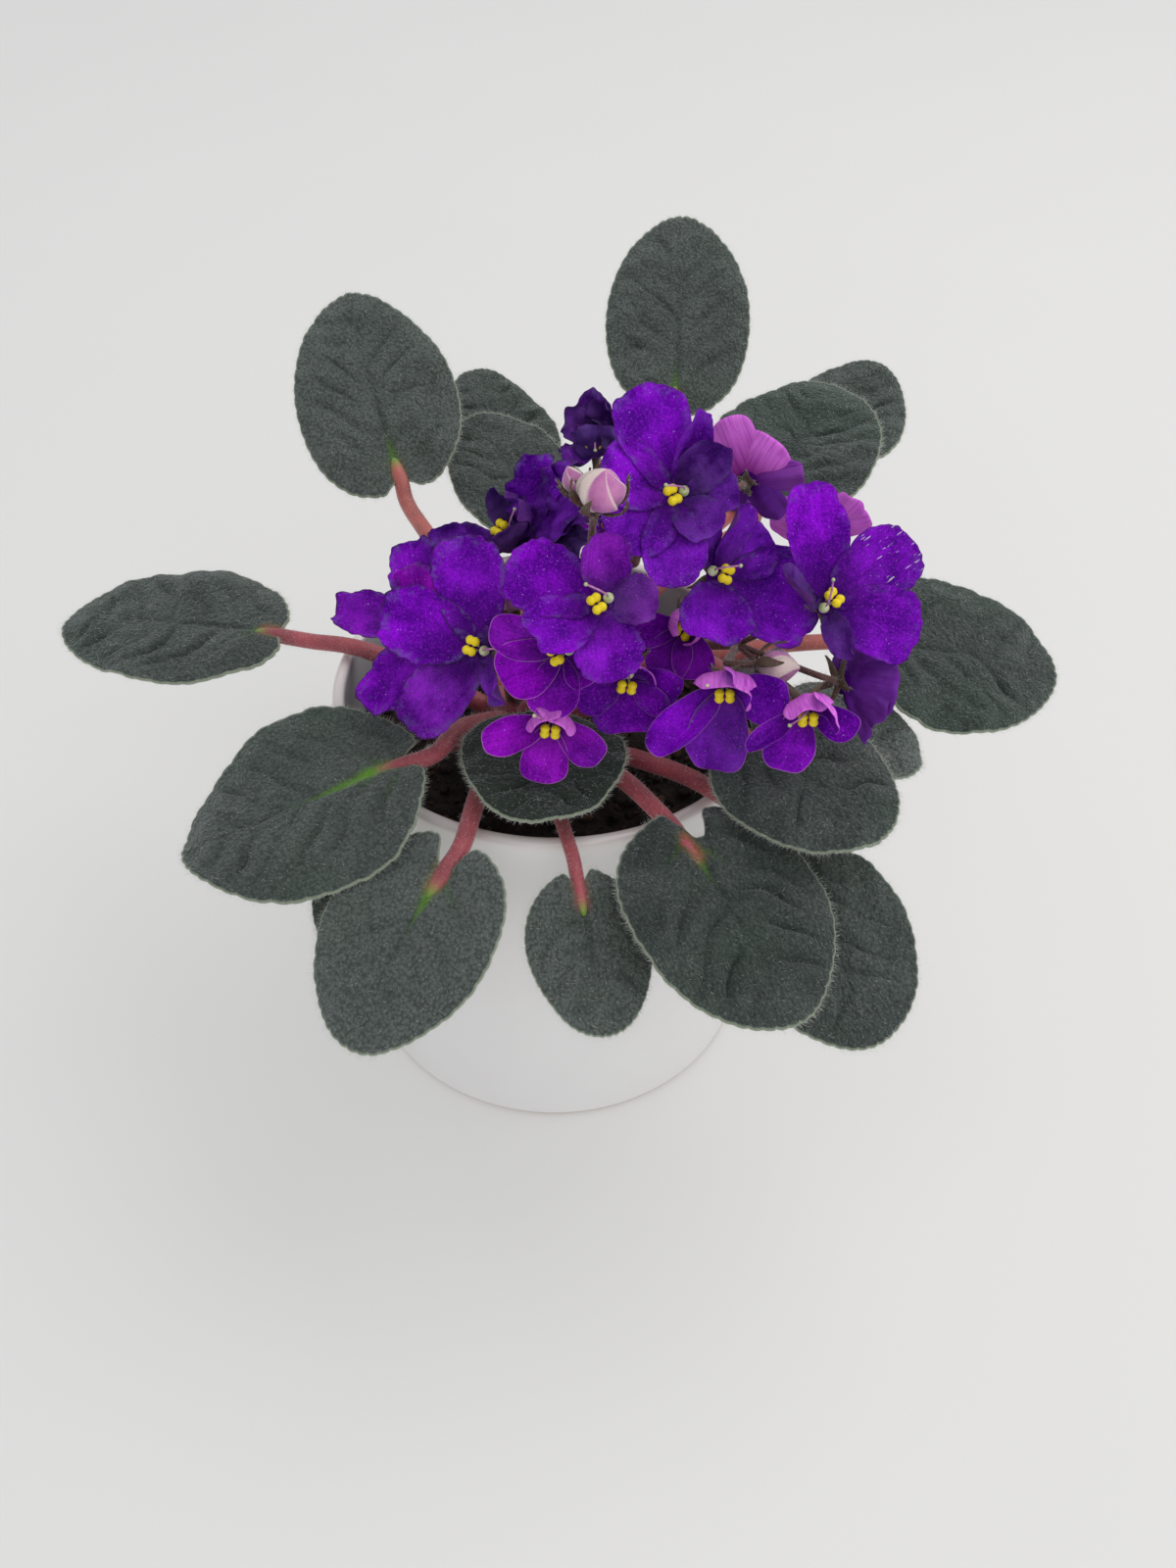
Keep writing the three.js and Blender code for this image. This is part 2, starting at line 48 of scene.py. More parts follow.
# arrays side by side along a last axis, each stretched to the shape of them all
def stacked(*axes):
    return np.stack(np.broadcast_arrays(*axes), -1)


# 0 below low, 1 above high, and a smooth s-curve between them
def ease(value, low, high):
    share = np.clip((value - low) / (high - low), 0, 1)
    return share * share * (3 - 2 * share)


# a matrix that turns by an angle about x, y or z
def turning(axis, degrees):
    return np.array(Matrix.Rotation(np.radians(degrees), 3, axis))


# a smooth bumpy field: the mean of waves with seeded headings and phases, each about one width long
def ripples(x, y, width, seed, waves=9):
    draw = np.random.default_rng(seed)
    heading, phase = draw.uniform(0, 2 * np.pi, (2, waves))
    rate = 2 * np.pi / width * draw.uniform(0.7, 1.4, waves)
    along = x[..., None] * np.cos(heading) + y[..., None] * np.sin(heading)
    return np.sin(along * rate + phase).sum(-1) / np.sqrt(waves)


# how far a point is from the border of its nearest cell, for cells round seeded spots on a jittered grid
def cells(x, y, width, seed):
    draw = np.random.default_rng(seed)
    a, b = np.meshgrid(np.arange(x.min() - width, x.max() + width, width),
                       np.arange(y.min() - width, y.max() + width, width))
    spots = np.stack([a, b], -1).reshape(-1, 2) + draw.uniform(-0.42, 0.42, (a.size, 2)) * width
    away = np.hypot(x.ravel()[:, None] - spots[:, 0], y.ravel()[:, None] - spots[:, 1])
    nearest = np.partition(away, 1, axis=1)
    return ((nearest[:, 1] - nearest[:, 0]) / width).reshape(x.shape)


# a smooth path through points: each stretch is the cubic that meets its neighbours with one slope
def smoothPath(points, steps):
    p = np.asarray(points, float)
    p = np.concatenate([[2 * p[0] - p[1]], p, [2 * p[-1] - p[-2]]])
    at = np.linspace(0, len(p) - 3, steps)
    i = np.minimum(at.astype(int), len(p) - 4)
    t = (at - i)[:, None]
    a, b, c, d = p[i], p[i + 1], p[i + 2], p[i + 3]
    return 0.5 * (2 * b + (c - a) * t + (2 * a - 5 * b + 4 * c - d) * t**2 + (3 * b - a - 3 * c + d) * t**3)


# A shell over a grid of points: the columns close on themselves, and each end row is closed by a fan to
# its own middle. Faces point outwards when the columns turn left about the way that the rows go.
def shell(rows, skin=0, **fields):
    count, around = rows.shape[:2]
    number = np.arange(count * around).reshape(count, around)
    onward = np.roll(number, -1, axis=1)
    quads = np.stack([number[:-1], onward[:-1], onward[1:], number[1:]], -1).reshape(-1, 4)
    middle = np.full(around, count * around)
    fans = np.concatenate([np.stack([onward[0], number[0], middle], -1),
                           np.stack([number[-1], onward[-1], middle + 1], -1)])
    points = np.concatenate([rows.reshape(-1, 3), [rows[0].mean(0), rows[-1].mean(0)]])
    values = {}
    for key, field in fields.items():
        field = np.broadcast_to(field, (count, around))
        values[key] = np.append(field.ravel(), [field[0].mean(), field[-1].mean()])
    return {"points": points, "quads": quads, "fans": fans, "skin": skin, "fields": values}


# Many copies of one shell: each is turned by its own matrix, sized, and set at its own place.
def scatter(base, places, turns, sizes, **fields):
    copies, each = len(places), len(base["points"])
    points = np.einsum("nij,nkj->nki", turns, base["points"][None] * sizes[:, None, :]) + places[:, None, :]
    step = (np.arange(copies) * each)[:, None, None]
    values = {key: np.repeat(field, each) for key, field in fields.items()}
    return {"points": points.reshape(-1, 3), "quads": (base["quads"] + step).reshape(-1, 4),
            "fans": (base["fans"] + step).reshape(-1, 3), "skin": base["skin"], "fields": values}


# A tube along a path, with its own radius across and up at each step. The up direction stays square to
# the path and as near as it can to the one given.
def tube(path, across, up, sides, above=(0, 0, 1), skin=0, **fields):
    path = np.asarray(path, float)
    ahead = unit(np.gradient(path, axis=0))
    side = unit(np.cross(ahead, np.broadcast_to(above, path.shape)))
    top = np.cross(side, ahead)
    turn = np.linspace(0, 2 * np.pi, sides, endpoint=False)
    steps = len(path)
    across, up = np.broadcast_to(across, steps), np.broadcast_to(up, steps)
    rows = (path[:, None] + side[:, None] * (across[:, None] * np.cos(turn))[..., None]
            + top[:, None] * (up[:, None] * np.sin(-turn))[..., None])
    values = {key: np.reshape(field, (-1, 1)) for key, field in fields.items()}
    return shell(rows[:, ::-1], skin, **values)


# A surface of revolution: each (radius, height) of the profile turned about the z axis, at a middle.
def turned(profile, sides, middle=(0, 0, 0), skin=0, **fields):
    radius, height = np.asarray(profile, float).T[..., None]
    turn = np.linspace(0, 2 * np.pi, sides, endpoint=False)
    return shell(stacked(radius * np.cos(turn), radius * np.sin(turn), height) + middle, skin, **fields)


# Hairs: slim three-sided spikes, closed at the root, from places along their own ways.
def hairShell(places, ways, lengths, thickness):
    ways = unit(ways)
    side = unit(np.cross(ways, np.roll(ways, 1, axis=1) + 0.31))
    other = np.cross(ways, side)
    around = np.radians([0, 120, 240])
    ring = places[:, None] - ways[:, None] * 0.15 + thickness * (
        side[:, None] * np.cos(around)[None, :, None] + other[:, None] * np.sin(around)[None, :, None])
    points = np.concatenate([ring, (places + ways * lengths[:, None])[:, None]], 1)
    faces = np.array([[0, 2, 1], [0, 1, 3], [1, 2, 3], [2, 0, 3]])
    fans = (faces[None] + (np.arange(len(places)) * 4)[:, None, None]).reshape(-1, 3)
    none = np.zeros((0, 4), int)
    return {"points": points.reshape(-1, 3), "quads": none, "fans": fans, "skin": 0, "fields": {}}


# One object from several shells, its place in its mesh, riding on the frame's one body.
def makePiece(name, shells, skins, stands=()):
    starts = np.cumsum([0] + [len(s["points"]) for s in shells])
    points = np.concatenate([s["points"] for s in shells]) * metre
    quads = np.concatenate([s["quads"] + k for s, k in zip(shells, starts)])
    fans = np.concatenate([s["fans"] + k for s, k in zip(shells, starts)])
    mesh = bpy.data.meshes.new(name)
    mesh.vertices.add(len(points))
    mesh.vertices.foreach_set("co", points.astype(np.float32).ravel())
    corners = np.concatenate([quads.ravel(), fans.ravel()])
    mesh.loops.add(len(corners))
    mesh.loops.foreach_set("vertex_index", corners.astype(np.int32))
    sizes = np.concatenate([np.full(len(quads), 4), np.full(len(fans), 3)])
    mesh.polygons.add(len(sizes))
    mesh.polygons.foreach_set("loop_start", (np.cumsum(sizes) - sizes).astype(np.int32))
    skinOf = [np.full(len(s[part]), s["skin"]) for part in ("quads", "fans") for s in shells]
    mesh.polygons.foreach_set("material_index", np.concatenate(skinOf).astype(np.int32))
    mesh.polygons.foreach_set("use_smooth", np.ones(len(sizes), bool))
    for key in sorted({key for s in shells for key in s["fields"]}):
        values = [s["fields"].get(key, np.zeros(len(s["points"]))) for s in shells]
        field = mesh.attributes.new(key, "FLOAT", "POINT")
        field.data.foreach_set("value", np.concatenate(values).astype(np.float32))
    mesh.update(calc_edges=True)
    for skin in skins:
        mesh.materials.append(skin)
    piece = bpy.data.objects.new(name, mesh)
    bpy.context.scene.collection.objects.link(piece)
    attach(piece, "root")
    if stands:
        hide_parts(*stands)
    return piece


# A material, and short ways to add nodes to it. Each gives the new node's output, to feed to the next.
class Finish:
    def __init__(self, name):
        self.material = bpy.data.materials.new(name)
        self.material.use_nodes = True
        self.tree = self.material.node_tree
        self.place = self.node("TexCoord").outputs["Object"]

    # sets or links each input of a node
    def feed(self, node, inputs):
        for key, value in inputs.items():
            socket = node.inputs[key]
            if isinstance(value, bpy.types.NodeSocket):
                self.tree.links.new(value, socket)
            else:
                socket.default_value = (*value, 1) if socket.type == "RGBA" else value

    def node(self, kind, inputs=(), **settings):
        node = self.tree.nodes.new("ShaderNode" + kind)
        for key, value in settings.items():
            setattr(node, key, value)
        self.feed(node, dict(inputs))
        return node

    def read(self, name):  # a field of the mesh
        return self.node("Attribute", attribute_name=name).outputs["Fac"]

    def mix(self, share, first, second):
        return self.node("Mix", {0: share, 6: first, 7: second}, data_type="RGBA").outputs[2]

    # a colour with others laid over it in turn, each by its own share
    def layered(self, base, *layers):
        for share, colour in layers:
            base = self.mix(share, base, colour)
        return base

    # value from low to high becomes first to last, and stays within them
    def ramp(self, value, low, high, first=0.0, last=1.0):
        inputs = {"Value": value, "From Min": low, "From Max": high, "To Min": first, "To Max": last}
        return self.node("MapRange", inputs).outputs[0]

    def math(self, operation, first, second):
        return self.node("Math", {0: first, 1: second}, operation=operation).outputs[0]

    def times(self, first, second):
        return self.math("MULTIPLY", first, second)

    def noise(self, scale, detail=3, roughness=0.5, place=None):
        place = self.place if place is None else place
        inputs = {"Vector": place, "Scale": scale, "Detail": detail, "Roughness": roughness}
        return self.node("TexNoise", inputs).outputs["Fac"]

    # noise drawn out along the piece, at its own rate in each of up to three fields
    def strands(self, detail, **rates):
        axes = {axis: self.times(self.read(name), rate) for axis, (name, rate) in zip("XYZ", rates.items())}
        return self.noise(1.0, detail, place=self.node("CombineXYZ", axes).outputs[0])

    # the material, with the shader's inputs set and any height as a bump
    def done(self, inputs, height=None, distance=0.0, strength=1.0):
        if height is not None:
            relief = {"Height": height, "Distance": distance, "Strength": strength}
            inputs["Normal"] = self.node("Bump", relief).outputs["Normal"]
        self.feed(self.tree.nodes["Principled BSDF"], inputs)
        return self.material


# light that goes under the surface: how much, and how far in red, green and blue
def translucent(weight, *radius):
    return {"Subsurface Weight": weight, "Subsurface Radius": radius, "Subsurface Scale": 1.0}


def leafFinish():
    skin = Finish("downyLeaf")
    cloudy, wide, fine = skin.noise(75, 5, 0.65), skin.noise(24, 2), skin.noise(2300, 2, 0.7)
    pebbles = skin.node("TexVoronoi", {"Vector": skin.place, "Scale": 1150}).outputs["Distance"]
    # strokes of down lie along the blade in one layer and across it in the other
    down = skin.math("MAXIMUM", skin.ramp(skin.strands(2, along=0.7, over=3.6), 0.55, 0.72, 0, 0.55),
                     skin.ramp(skin.strands(2, along=3.3, over=0.9), 0.58, 0.76, 0, 0.45))
    base = skin.layered(
        (0.022, 0.032, 0.027),
        (skin.ramp(cloudy, 0.35, 0.65), (0.072, 0.088, 0.079)),
        (skin.ramp(wide, 0.5, 0.68, 0, 0.5), (0.025, 0.062, 0.034)),
        (skin.read("pale"), (0.172, 0.198, 0.182)),
        (skin.ramp(pebbles, 0.32, 0.72, 0, 0.6), (0.014, 0.021, 0.017)),
        (down, (0.2, 0.24, 0.225)),
        # darker leaves where pale is below 0; on the inner leaf under the blooms this is painted shade
        (skin.read("deep"), (0.009, 0.019, 0.01)),
        # painted shade from the vein field, in and beside the grooves of the veins and the midrib
        (skin.times(skin.read("vein"), 0.62), (0.013, 0.022, 0.016)),
        (skin.read("under"), (0.2, 0.23, 0.14)),
        (skin.read("green"), (0.14, 0.34, 0.02)),
        (skin.read("red"), (0.4, 0.1, 0.07)),
        (skin.ramp(skin.read("share"), 0.98, 0.999, 0, 0.75), (0.4, 0.46, 0.34)))
    height = skin.math("ADD", skin.times(pebbles, -0.8), skin.times(fine, 0.6))
    return skin.done({"Base Color": base, "Roughness": skin.ramp(fine, 0.3, 0.8, 0.5, 0.75),
                      "Sheen Weight": 0.3, "Sheen Roughness": 0.4, "Sheen Tint": (0.8, 0.9, 0.9),
                      "Specular IOR Level": 0.3}, height, 0.0009, 0.8)


def stalkFinish(name, red, green, strength):
    skin = Finish(name)
    patchy = skin.noise(130)
    base = skin.layered(
        red,
        (skin.ramp(patchy, 0.3, 0.7), tuple(c * 0.55 for c in red)),
        (skin.read("green"), green),
        (skin.ramp(skin.noise(2400, 2, 0.7), 0.52, 0.78, 0, strength), (0.72, 0.55, 0.52)))
    return skin.done({"Base Color": base, "Roughness": 0.5, "Sheen Weight": 0.25,
                      **translucent(0.12, 0.002, 0.001, 0.0006)}, patchy, 0.0004, 0.5)


def petalFinish():
    skin = Finish("violetPetal")
    share, reach, age, pink = (skin.read(name) for name in ("share", "reach", "age", "pink"))
    # streaks run from the throat to the rim, and differ from petal to petal
    streaks = skin.strands(4, across=30.0, reach=1.6, number=7.3)
    patchy, grains, velvetGlints = skin.noise(110, 4, 0.6), skin.noise(1900, 2, 0.6), skin.noise(2600, 1)
    mottled = skin.ramp(patchy, 0.38, 0.62)
    # long white scratches, on the one petal that has them
    scratched = skin.ramp(skin.strands(1, across=34.0, reach=7.0), 0.69, 0.71)
    young = skin.times(skin.ramp(pink, 0.35, 1.0, 0, 0.8), skin.ramp(patchy, 0.35, 0.6, 0.35, 1))
    faded = skin.ramp(skin.noise(320, 4, 0.7), 0.5, 0.6, 0, 0.7)
    worn = skin.ramp(skin.noise(230), 0.36, 0.5)
    # the back is a greyed violet on an old bloom and a rosy pink, veined with magenta, on a young one
    rosy = skin.layered(
        (0.88, 0.22, 0.92),
        (skin.ramp(streaks, 0.45, 0.75), (0.58, 0.06, 0.66)),
        (skin.ramp(reach, 0.15, 0.7, 0.85, 0), (0.3, 0.008, 0.27)))
    dull = skin.mix(skin.ramp(patchy, 0.4, 0.65), (0.05, 0.004, 0.17), (0.12, 0.02, 0.34))
    # painted shade: the dark greyed colour that each petal's shade field lays over it
    shaded = skin.mix(skin.ramp(patchy, 0.4, 0.6), (0.02, 0.008, 0.05), (0.085, 0.05, 0.16))
    base = skin.layered(
        skin.mix(mottled, (0.09, 0.0004, 0.31), (0.31, 0.001, 0.8)),
        (skin.read("tone"), skin.mix(mottled, (0.16, 0.0005, 0.28), (0.44, 0.003, 0.68))),
        (skin.ramp(streaks, 0.46, 0.72, 0, 0.5), (0.055, 0.0003, 0.19)),
        (skin.ramp(skin.noise(45, 3, 0.6), 0.48, 0.64, 0, 0.68), (0.06, 0.0003, 0.21)),
        (skin.ramp(grains, 0.5, 0.72, 0, 0.5), (0.46, 0.02, 0.92)),
        (skin.ramp(grains, 0.5, 0.3, 0, 0.4), (0.05, 0.0003, 0.18)),
        # painted highlight: tiny white glints off the velvet's fine down
        (skin.ramp(velvetGlints, 0.76, 0.78, 0, 0.75), (0.8, 0.7, 0.9)),
        # painted shade: each petal darkens towards the throat
        (skin.ramp(reach, 0.02, 0.6, 0.85, 0), (0.03, 0.0004, 0.095)),
        (skin.times(skin.ramp(share, 0.965, 0.995), young), (0.66, 0.3, 0.62)),
        (skin.times(scratched, skin.read("scratch")), (0.8, 0.75, 0.88)),
        (skin.times(skin.times(skin.ramp(share, 0.72, 0.93), age), faded), (0.16, 0.11, 0.36)),
        (skin.times(skin.times(skin.ramp(share, 0.945, 0.985), age), worn), (0.028, 0.016, 0.05)),
        (skin.read("under"), skin.mix(pink, dull, rosy)),
        (skin.read("shade"), shaded))
    height = skin.math("ADD", skin.times(streaks, 0.8), skin.times(grains, 0.4))
    return skin.done({"Base Color": base, "Roughness": 0.55, "Specular IOR Level": 0.04, "Sheen Weight": 0.02,
                      "Sheen Roughness": 0.4, "Sheen Tint": (0.45, 0.2, 1.0),
                      **translucent(0.08, 0.001, 0.0003, 0.002)}, height, 0.0003, 0.5)


def plainFinish(name, first, second, scale, roughness, relief, subsurface=0.0):
    skin = Finish(name)
    grain = skin.noise(scale)
    base = skin.mix(skin.ramp(grain, 0.35, 0.65), first, second)
    return skin.done({"Base Color": base, "Roughness": roughness,
                      **translucent(subsurface, 0.001, 0.001, 0.0005)}, grain, relief)


def budFinish():
    skin = Finish("pinkBud")
    base = skin.layered(
        (0.66, 0.25, 0.5),
        (skin.ramp(skin.noise(300), 0.35, 0.65), (0.5, 0.13, 0.42)),
        (skin.read("crest"), (0.82, 0.66, 0.62)))
    return skin.done({"Base Color": base, "Roughness": 0.5, "Sheen Weight": 0.4,
                      **translucent(0.2, 0.002, 0.001, 0.001)}, skin.noise(2500, 2), 0.0002)


def glazeFinish():
    skin = Finish("whiteGlaze")
    height, inside = skin.node("SeparateXYZ", {0: skin.place}).outputs[2], skin.read("inside")
    # a dark brown, rough band along the foot: the bare clay's colour, darkened further as painted contact
    # shadow where the pot meets the floor
    clayAndContactShade = skin.ramp(height, 0.0012, 0.0007)
    base = skin.layered(
        (0.84, 0.825, 0.82),
        (skin.ramp(skin.noise(18), 0.3, 0.7), (0.88, 0.87, 0.865)),
        (skin.ramp(height, 0.1165, 0.1195, 0, 0.5), (0.8, 0.7, 0.68)),
        # painted shade: the inner wall is greyed towards blue
        (skin.times(inside, 0.6), (0.42, 0.45, 0.5)),
        (skin.times(skin.ramp(skin.noise(700, 2), 0.72, 0.8), inside), (0.1, 0.07, 0.05)),
        (clayAndContactShade, (0.3, 0.2, 0.12)))
    return skin.done({"Base Color": base, "Roughness": skin.ramp(clayAndContactShade, 0, 1, 0.16, 0.8), "Coat Weight": 0.4,
                      "Coat Roughness": 0.08}, skin.noise(45, 2), 0.0006, 0.35)


def soilFinish():
    skin = Finish("pottingMix")
    coarse, fine = skin.noise(240, 5, 0.7), skin.noise(1200, 3, 0.7)
    base = skin.layered(
        (0.006, 0.004, 0.003),
        (skin.ramp(coarse, 0.4, 0.62), (0.03, 0.016, 0.011)),
        (skin.ramp(fine, 0.6, 0.72, 0, 0.8), (0.09, 0.045, 0.028)),
        (skin.read("bark"), (0.11, 0.055, 0.03)))
    height = skin.math("ADD", coarse, skin.times(fine, 0.6))
    return skin.done({"Base Color": base, "Roughness": 0.9}, height, 0.002)


def hairFinish():
    skin = Finish("whiteHair")
    base = skin.mix(skin.noise(400, 1), (0.6, 0.62, 0.56), (0.85, 0.84, 0.8))
    return skin.done({"Base Color": base, "Roughness": 0.4})


leafSkin, petalSkin, budSkin = leafFinish(), petalFinish(), budFinish()
redSkin = stalkFinish("redStalk", (0.44, 0.07, 0.095), (0.13, 0.33, 0.02), 0.3)
paleRedSkin = stalkFinish("salmonStalk", (0.56, 0.13, 0.11), (0.13, 0.33, 0.02), 0.24)
darkSkin = stalkFinish("flowerStalk", (0.15, 0.03, 0.035), (0.1, 0.09, 0.04), 0.3)
sepalSkin = plainFinish("sepal", (0.11, 0.05, 0.04), (0.1, 0.085, 0.045), 500, 0.6, 0.0003)
antherSkin = plainFinish("anther", (0.9, 0.66, 0.0), (0.98, 0.8, 0.01), 1400, 0.5, 0.00008, 0.1)
ovarySkin = plainFinish("ovary", (0.42, 0.5, 0.2), (0.72, 0.76, 0.5), 700, 0.5, 0.0001, 0.15)
styleSkin = plainFinish("style", (0.42, 0.12, 0.36), (0.62, 0.3, 0.52), 700, 0.45, 0.0001, 0.1)
glazeSkin, soilSkin, hairSkin = glazeFinish(), soilFinish(), hairFinish()
print("finishes made")


pot = {"height": 120, "rim": 60, "base": 59, "wall": 3.5, "floor": 5, "lip": 1.7, "foot": 1.2, "fillet": 3,
       "core": 20, "sides": 160}


# The pot's profile goes over its underside, a quarter circle at the foot, the outer wall, half an ellipse at
# the lip and the inner wall to the floor, and is turned about the z axis.
def makePot():
    half, quarter = np.radians(np.linspace(0, 180, 13)), np.radians(np.linspace(-90, 0, 7))
    inner, low, lipMiddle = pot["rim"] - pot["wall"], pot["base"] - pot["wall"], pot["rim"] - pot["wall"] / 2
    lip = stacked(lipMiddle + pot["wall"] / 2 * np.cos(half),
                  pot["height"] - pot["lip"] + pot["lip"] * np.sin(half))
    foot = stacked(pot["base"] - pot["foot"] * (1 - np.cos(quarter)), pot["foot"] * (1 + np.sin(quarter)))
    heights = np.linspace(pot["foot"] * 2, pot["height"] - pot["lip"] * 1.4, 24)
    wall = stacked(np.interp(heights, [0, pot["height"]], [pot["base"], pot["rim"]]), heights)
    inside = [(inner, pot["height"] - 12), (inner - 0.2, pot["height"] / 2), (low, pot["floor"] + 4),
              (low - 1, pot["floor"] + 1), (low - pot["fillet"], pot["floor"]), (pot["core"], pot["floor"])]
    under = [(pot["core"], 0), (pot["base"] - pot["foot"] - 1, 0)]
    profile = np.concatenate([under, foot, wall, lip, inside])
    # the inside field marks the inner wall, where the glaze lays painted shade and specks of dirt
    within = np.arange(len(profile))[:, None] >= len(profile) - len(inside) - 3
    made = turned(profile, pot["sides"], inside=within * 1.0)
    makePiece("glazedPot", [made], [glazeSkin], ["pot"])


soil = {"level": 98, "radius": 56, "floor": 5.3, "hole": 7.9, "holeFloor": 85.7, "stem": (-11, 0), "mound": 3,
        "moundWidth": 22, "lumps": ((0.9, 24, 1), (0.5, 7, 2), (0.28, 2.6, 3)), "clods": 1100, "bark": 0.28,
        "seed": 4}


# The height of the soil's top: a low mound round the stem, and lumps of three sizes, each with its own
# height, width and seed.
def soilHeight(x, y):
    dx, dy = x - soil["stem"][0], y - soil["stem"][1]
    height = soil["level"] + soil["mound"] * np.exp(-(dx**2 + dy**2) / soil["moundWidth"] ** 2)
    for size, width, seed in soil["lumps"]:
        height = height + size * ripples(x, y, width, seed)
    return height


# The soil's surface goes from the floor of the stem's hole up its side, over the top and down the wall.
# Clods and bits of bark lie on it.
def makeSoil():
    turn = np.linspace(0, 2 * np.pi, 220, endpoint=False)
    share = np.linspace(0, 1, 46)[:, None]
    x, y = (c + soil["hole"] * (1 - share) * wave + share * (soil["radius"] * wave - c)
            for c, wave in zip(soil["stem"], (np.cos(turn), np.sin(turn))))
    top = stacked(x, y, soilHeight(x, y))
    low, base = top[:1].copy(), top[-1:].copy()
    low[..., 2], base[..., 2] = soil["holeFloor"], soil["floor"]
    rows = np.concatenate([base, top[::-1], low])
    rows[0, :, :2] *= 0.985  # the wall leans in a little towards the floor
    draw = np.random.default_rng(soil["seed"])
    angle = draw.uniform(0, 2 * np.pi, soil["clods"])
    out = np.sqrt(draw.uniform(0.02, 1, soil["clods"])) * (soil["radius"] - 2.2)
    px, py = out * np.cos(angle), out * np.sin(angle)
    clear = np.hypot(px - soil["stem"][0], py - soil["stem"][1]) > soil["hole"] + 2
    px, py = px[clear], py[clear]
    size = 0.5 + 1.3 * draw.random(len(px)) ** 2.5
    places = stacked(px, py, soilHeight(px, py) + size * 0.25)
    turns = np.array([Matrix.Rotation(a, 3, "Z") @ Matrix.Rotation(b, 3, "X")
                      for a, b in draw.uniform(0, 6.28, (len(px), 2))])
    sizes = size[:, None] * draw.uniform([0.8, 0.6, 0.4], [1.5, 1.0, 0.9], (len(px), 3))
    clod = turned([(0.6, -0.75), (0.98, -0.2), (0.9, 0.45), (0.45, 0.9)], 6)
    clod["points"] = clod["points"] * (1 + 0.12 * draw.standard_normal((len(clod["points"]), 1)))
    bark = (draw.random(len(px)) < soil["bark"]) * draw.uniform(0.3, 1, len(px))
    shells = [shell(rows), scatter(clod, places, turns, sizes, bark=bark)]
    makePiece("pottingSoil", shells, [soilSkin], ["soil"])


makePot()
makeSoil()
print("pot and soil made")


# at: the notch. way: heading, pitch and roll. size: length and width. stalk: the height where the stalk
# leaves the stem, how far it bows upwards, and its thickness. The others may be left out. lobe: how far its
# two lobes reach back, as a share of its length. cup, bend and wave: how far its sides, its tip and its rim
# rise. slit: how far its notch is turned. green: how green its base is. pale: -1 dark to 1 pale. crease:
# how deep its veins and pillows are, and how dark the painted shade beside its veins is.
leaves = {
    "left": {"at": (-76, 13, 125), "way": (168, -4, -6), "size": (66, 44), "lobe": 0.03, "bend": -3,
        "stalk": (107, 5, 1), "green": 0.35, "pale": 0.1, "crease": 0.8},
    "back_left": {"at": (-48, 69, 138), "way": (112, 30, -12), "size": (62, 48), "lobe": 0.08, "bend": 2,
        "stalk": (109, 5, 1), "green": 0.6, "pale": 0.45, "crease": 0.55},
    "back_left_low": {"at": (-12, 92, 124), "way": (112, 10, 0), "size": (55, 34), "stalk": (104, 13, 1),
        "pale": 0.1},
    "back": {"at": (-4, 58, 129), "way": (118, 11, -5), "size": (54, 37), "cup": 2, "stalk": (108, 5, 1),
        "pale": 0.05, "crease": 0.6},
    "back_raised": {"at": (34, 113, 138), "way": (88, 34, 0), "size": (66, 46), "lobe": 0.04, "bend": 2,
        "stalk": (110, 5, 1), "green": 0.5, "pale": 0.35, "crease": 0.5},
    "back_right_low": {"at": (80, 100, 127), "way": (66, 12, 0), "size": (51, 39), "stalk": (104, 16, 1),
        "pale": 0.1},
    "back_right": {"at": (57, 62, 137), "way": (62, 10, 0), "size": (60, 50), "cup": 2,
        "stalk": (109, 5, 1)},
    "right": {"at": (84, 9, 130), "way": (3, -10, 16), "size": (56, 50), "bend": -2, "stalk": (108, 5, 1),
        "pale": -0.1, "crease": 0.65},
    "right_low": {"at": (62, -10, 123), "way": (-20, -12, 6), "size": (38, 30), "stalk": (102, 19, 1),
        "pale": 0.6},
    "front_right": {"at": (49, -34, 134), "way": (-48, -1, 6), "size": (44, 41), "lobe": 0.1,
        "stalk": (110, 5, 1), "pale": 0.05},
    "front_right_low": {"at": (33, -65, 128), "way": (-58, -14, 0), "size": (50, 48), "lobe": 0.18,
        "bend": -3, "slit": 8, "stalk": (106, 5, 1), "green": 0.5, "pale": -0.05, "crease": 1},
    "front_right_under": {"at": (57, -62, 121), "way": (-63, -22, 0), "size": (50, 44),
        "stalk": (103, 8, 1), "pale": 0.1},
    "front_small": {"at": (8, -74, 122), "way": (-77, -26, 0), "size": (36, 29), "lobe": 0.1,
        "stalk": (103, 5, 0.75), "pale": 0.5, "crease": 0.6},
    "front_left": {"at": (-24, -72, 124), "way": (-120, -25, 0), "size": (46, 43), "lobe": 0.19, "bend": -2,
        "stalk": (105, 5, 1), "green": 0.75, "pale": 0.5, "crease": 0.4},
    "left_low": {"at": (-36, -43, 131), "way": (-160, -15, -6), "size": (58, 53), "lobe": 0.1, "wave": 3,
        "stalk": (109, 5, 1), "green": 1.0, "pale": 0.25, "crease": 0.8},
    # front_inner's dark tone is painted shade under the blooms
    "front_inner": {"at": (-1, -26, 131), "way": (-92, 3, 0), "size": (38, 40), "cup": 2,
        "stalk": (111, 5, 0.8), "pale": -0.75},
    "left_under": {"at": (-42, -56, 119), "way": (-110, -45, 0), "size": (32, 26), "stalk": (102, 9, 0.75)},
}

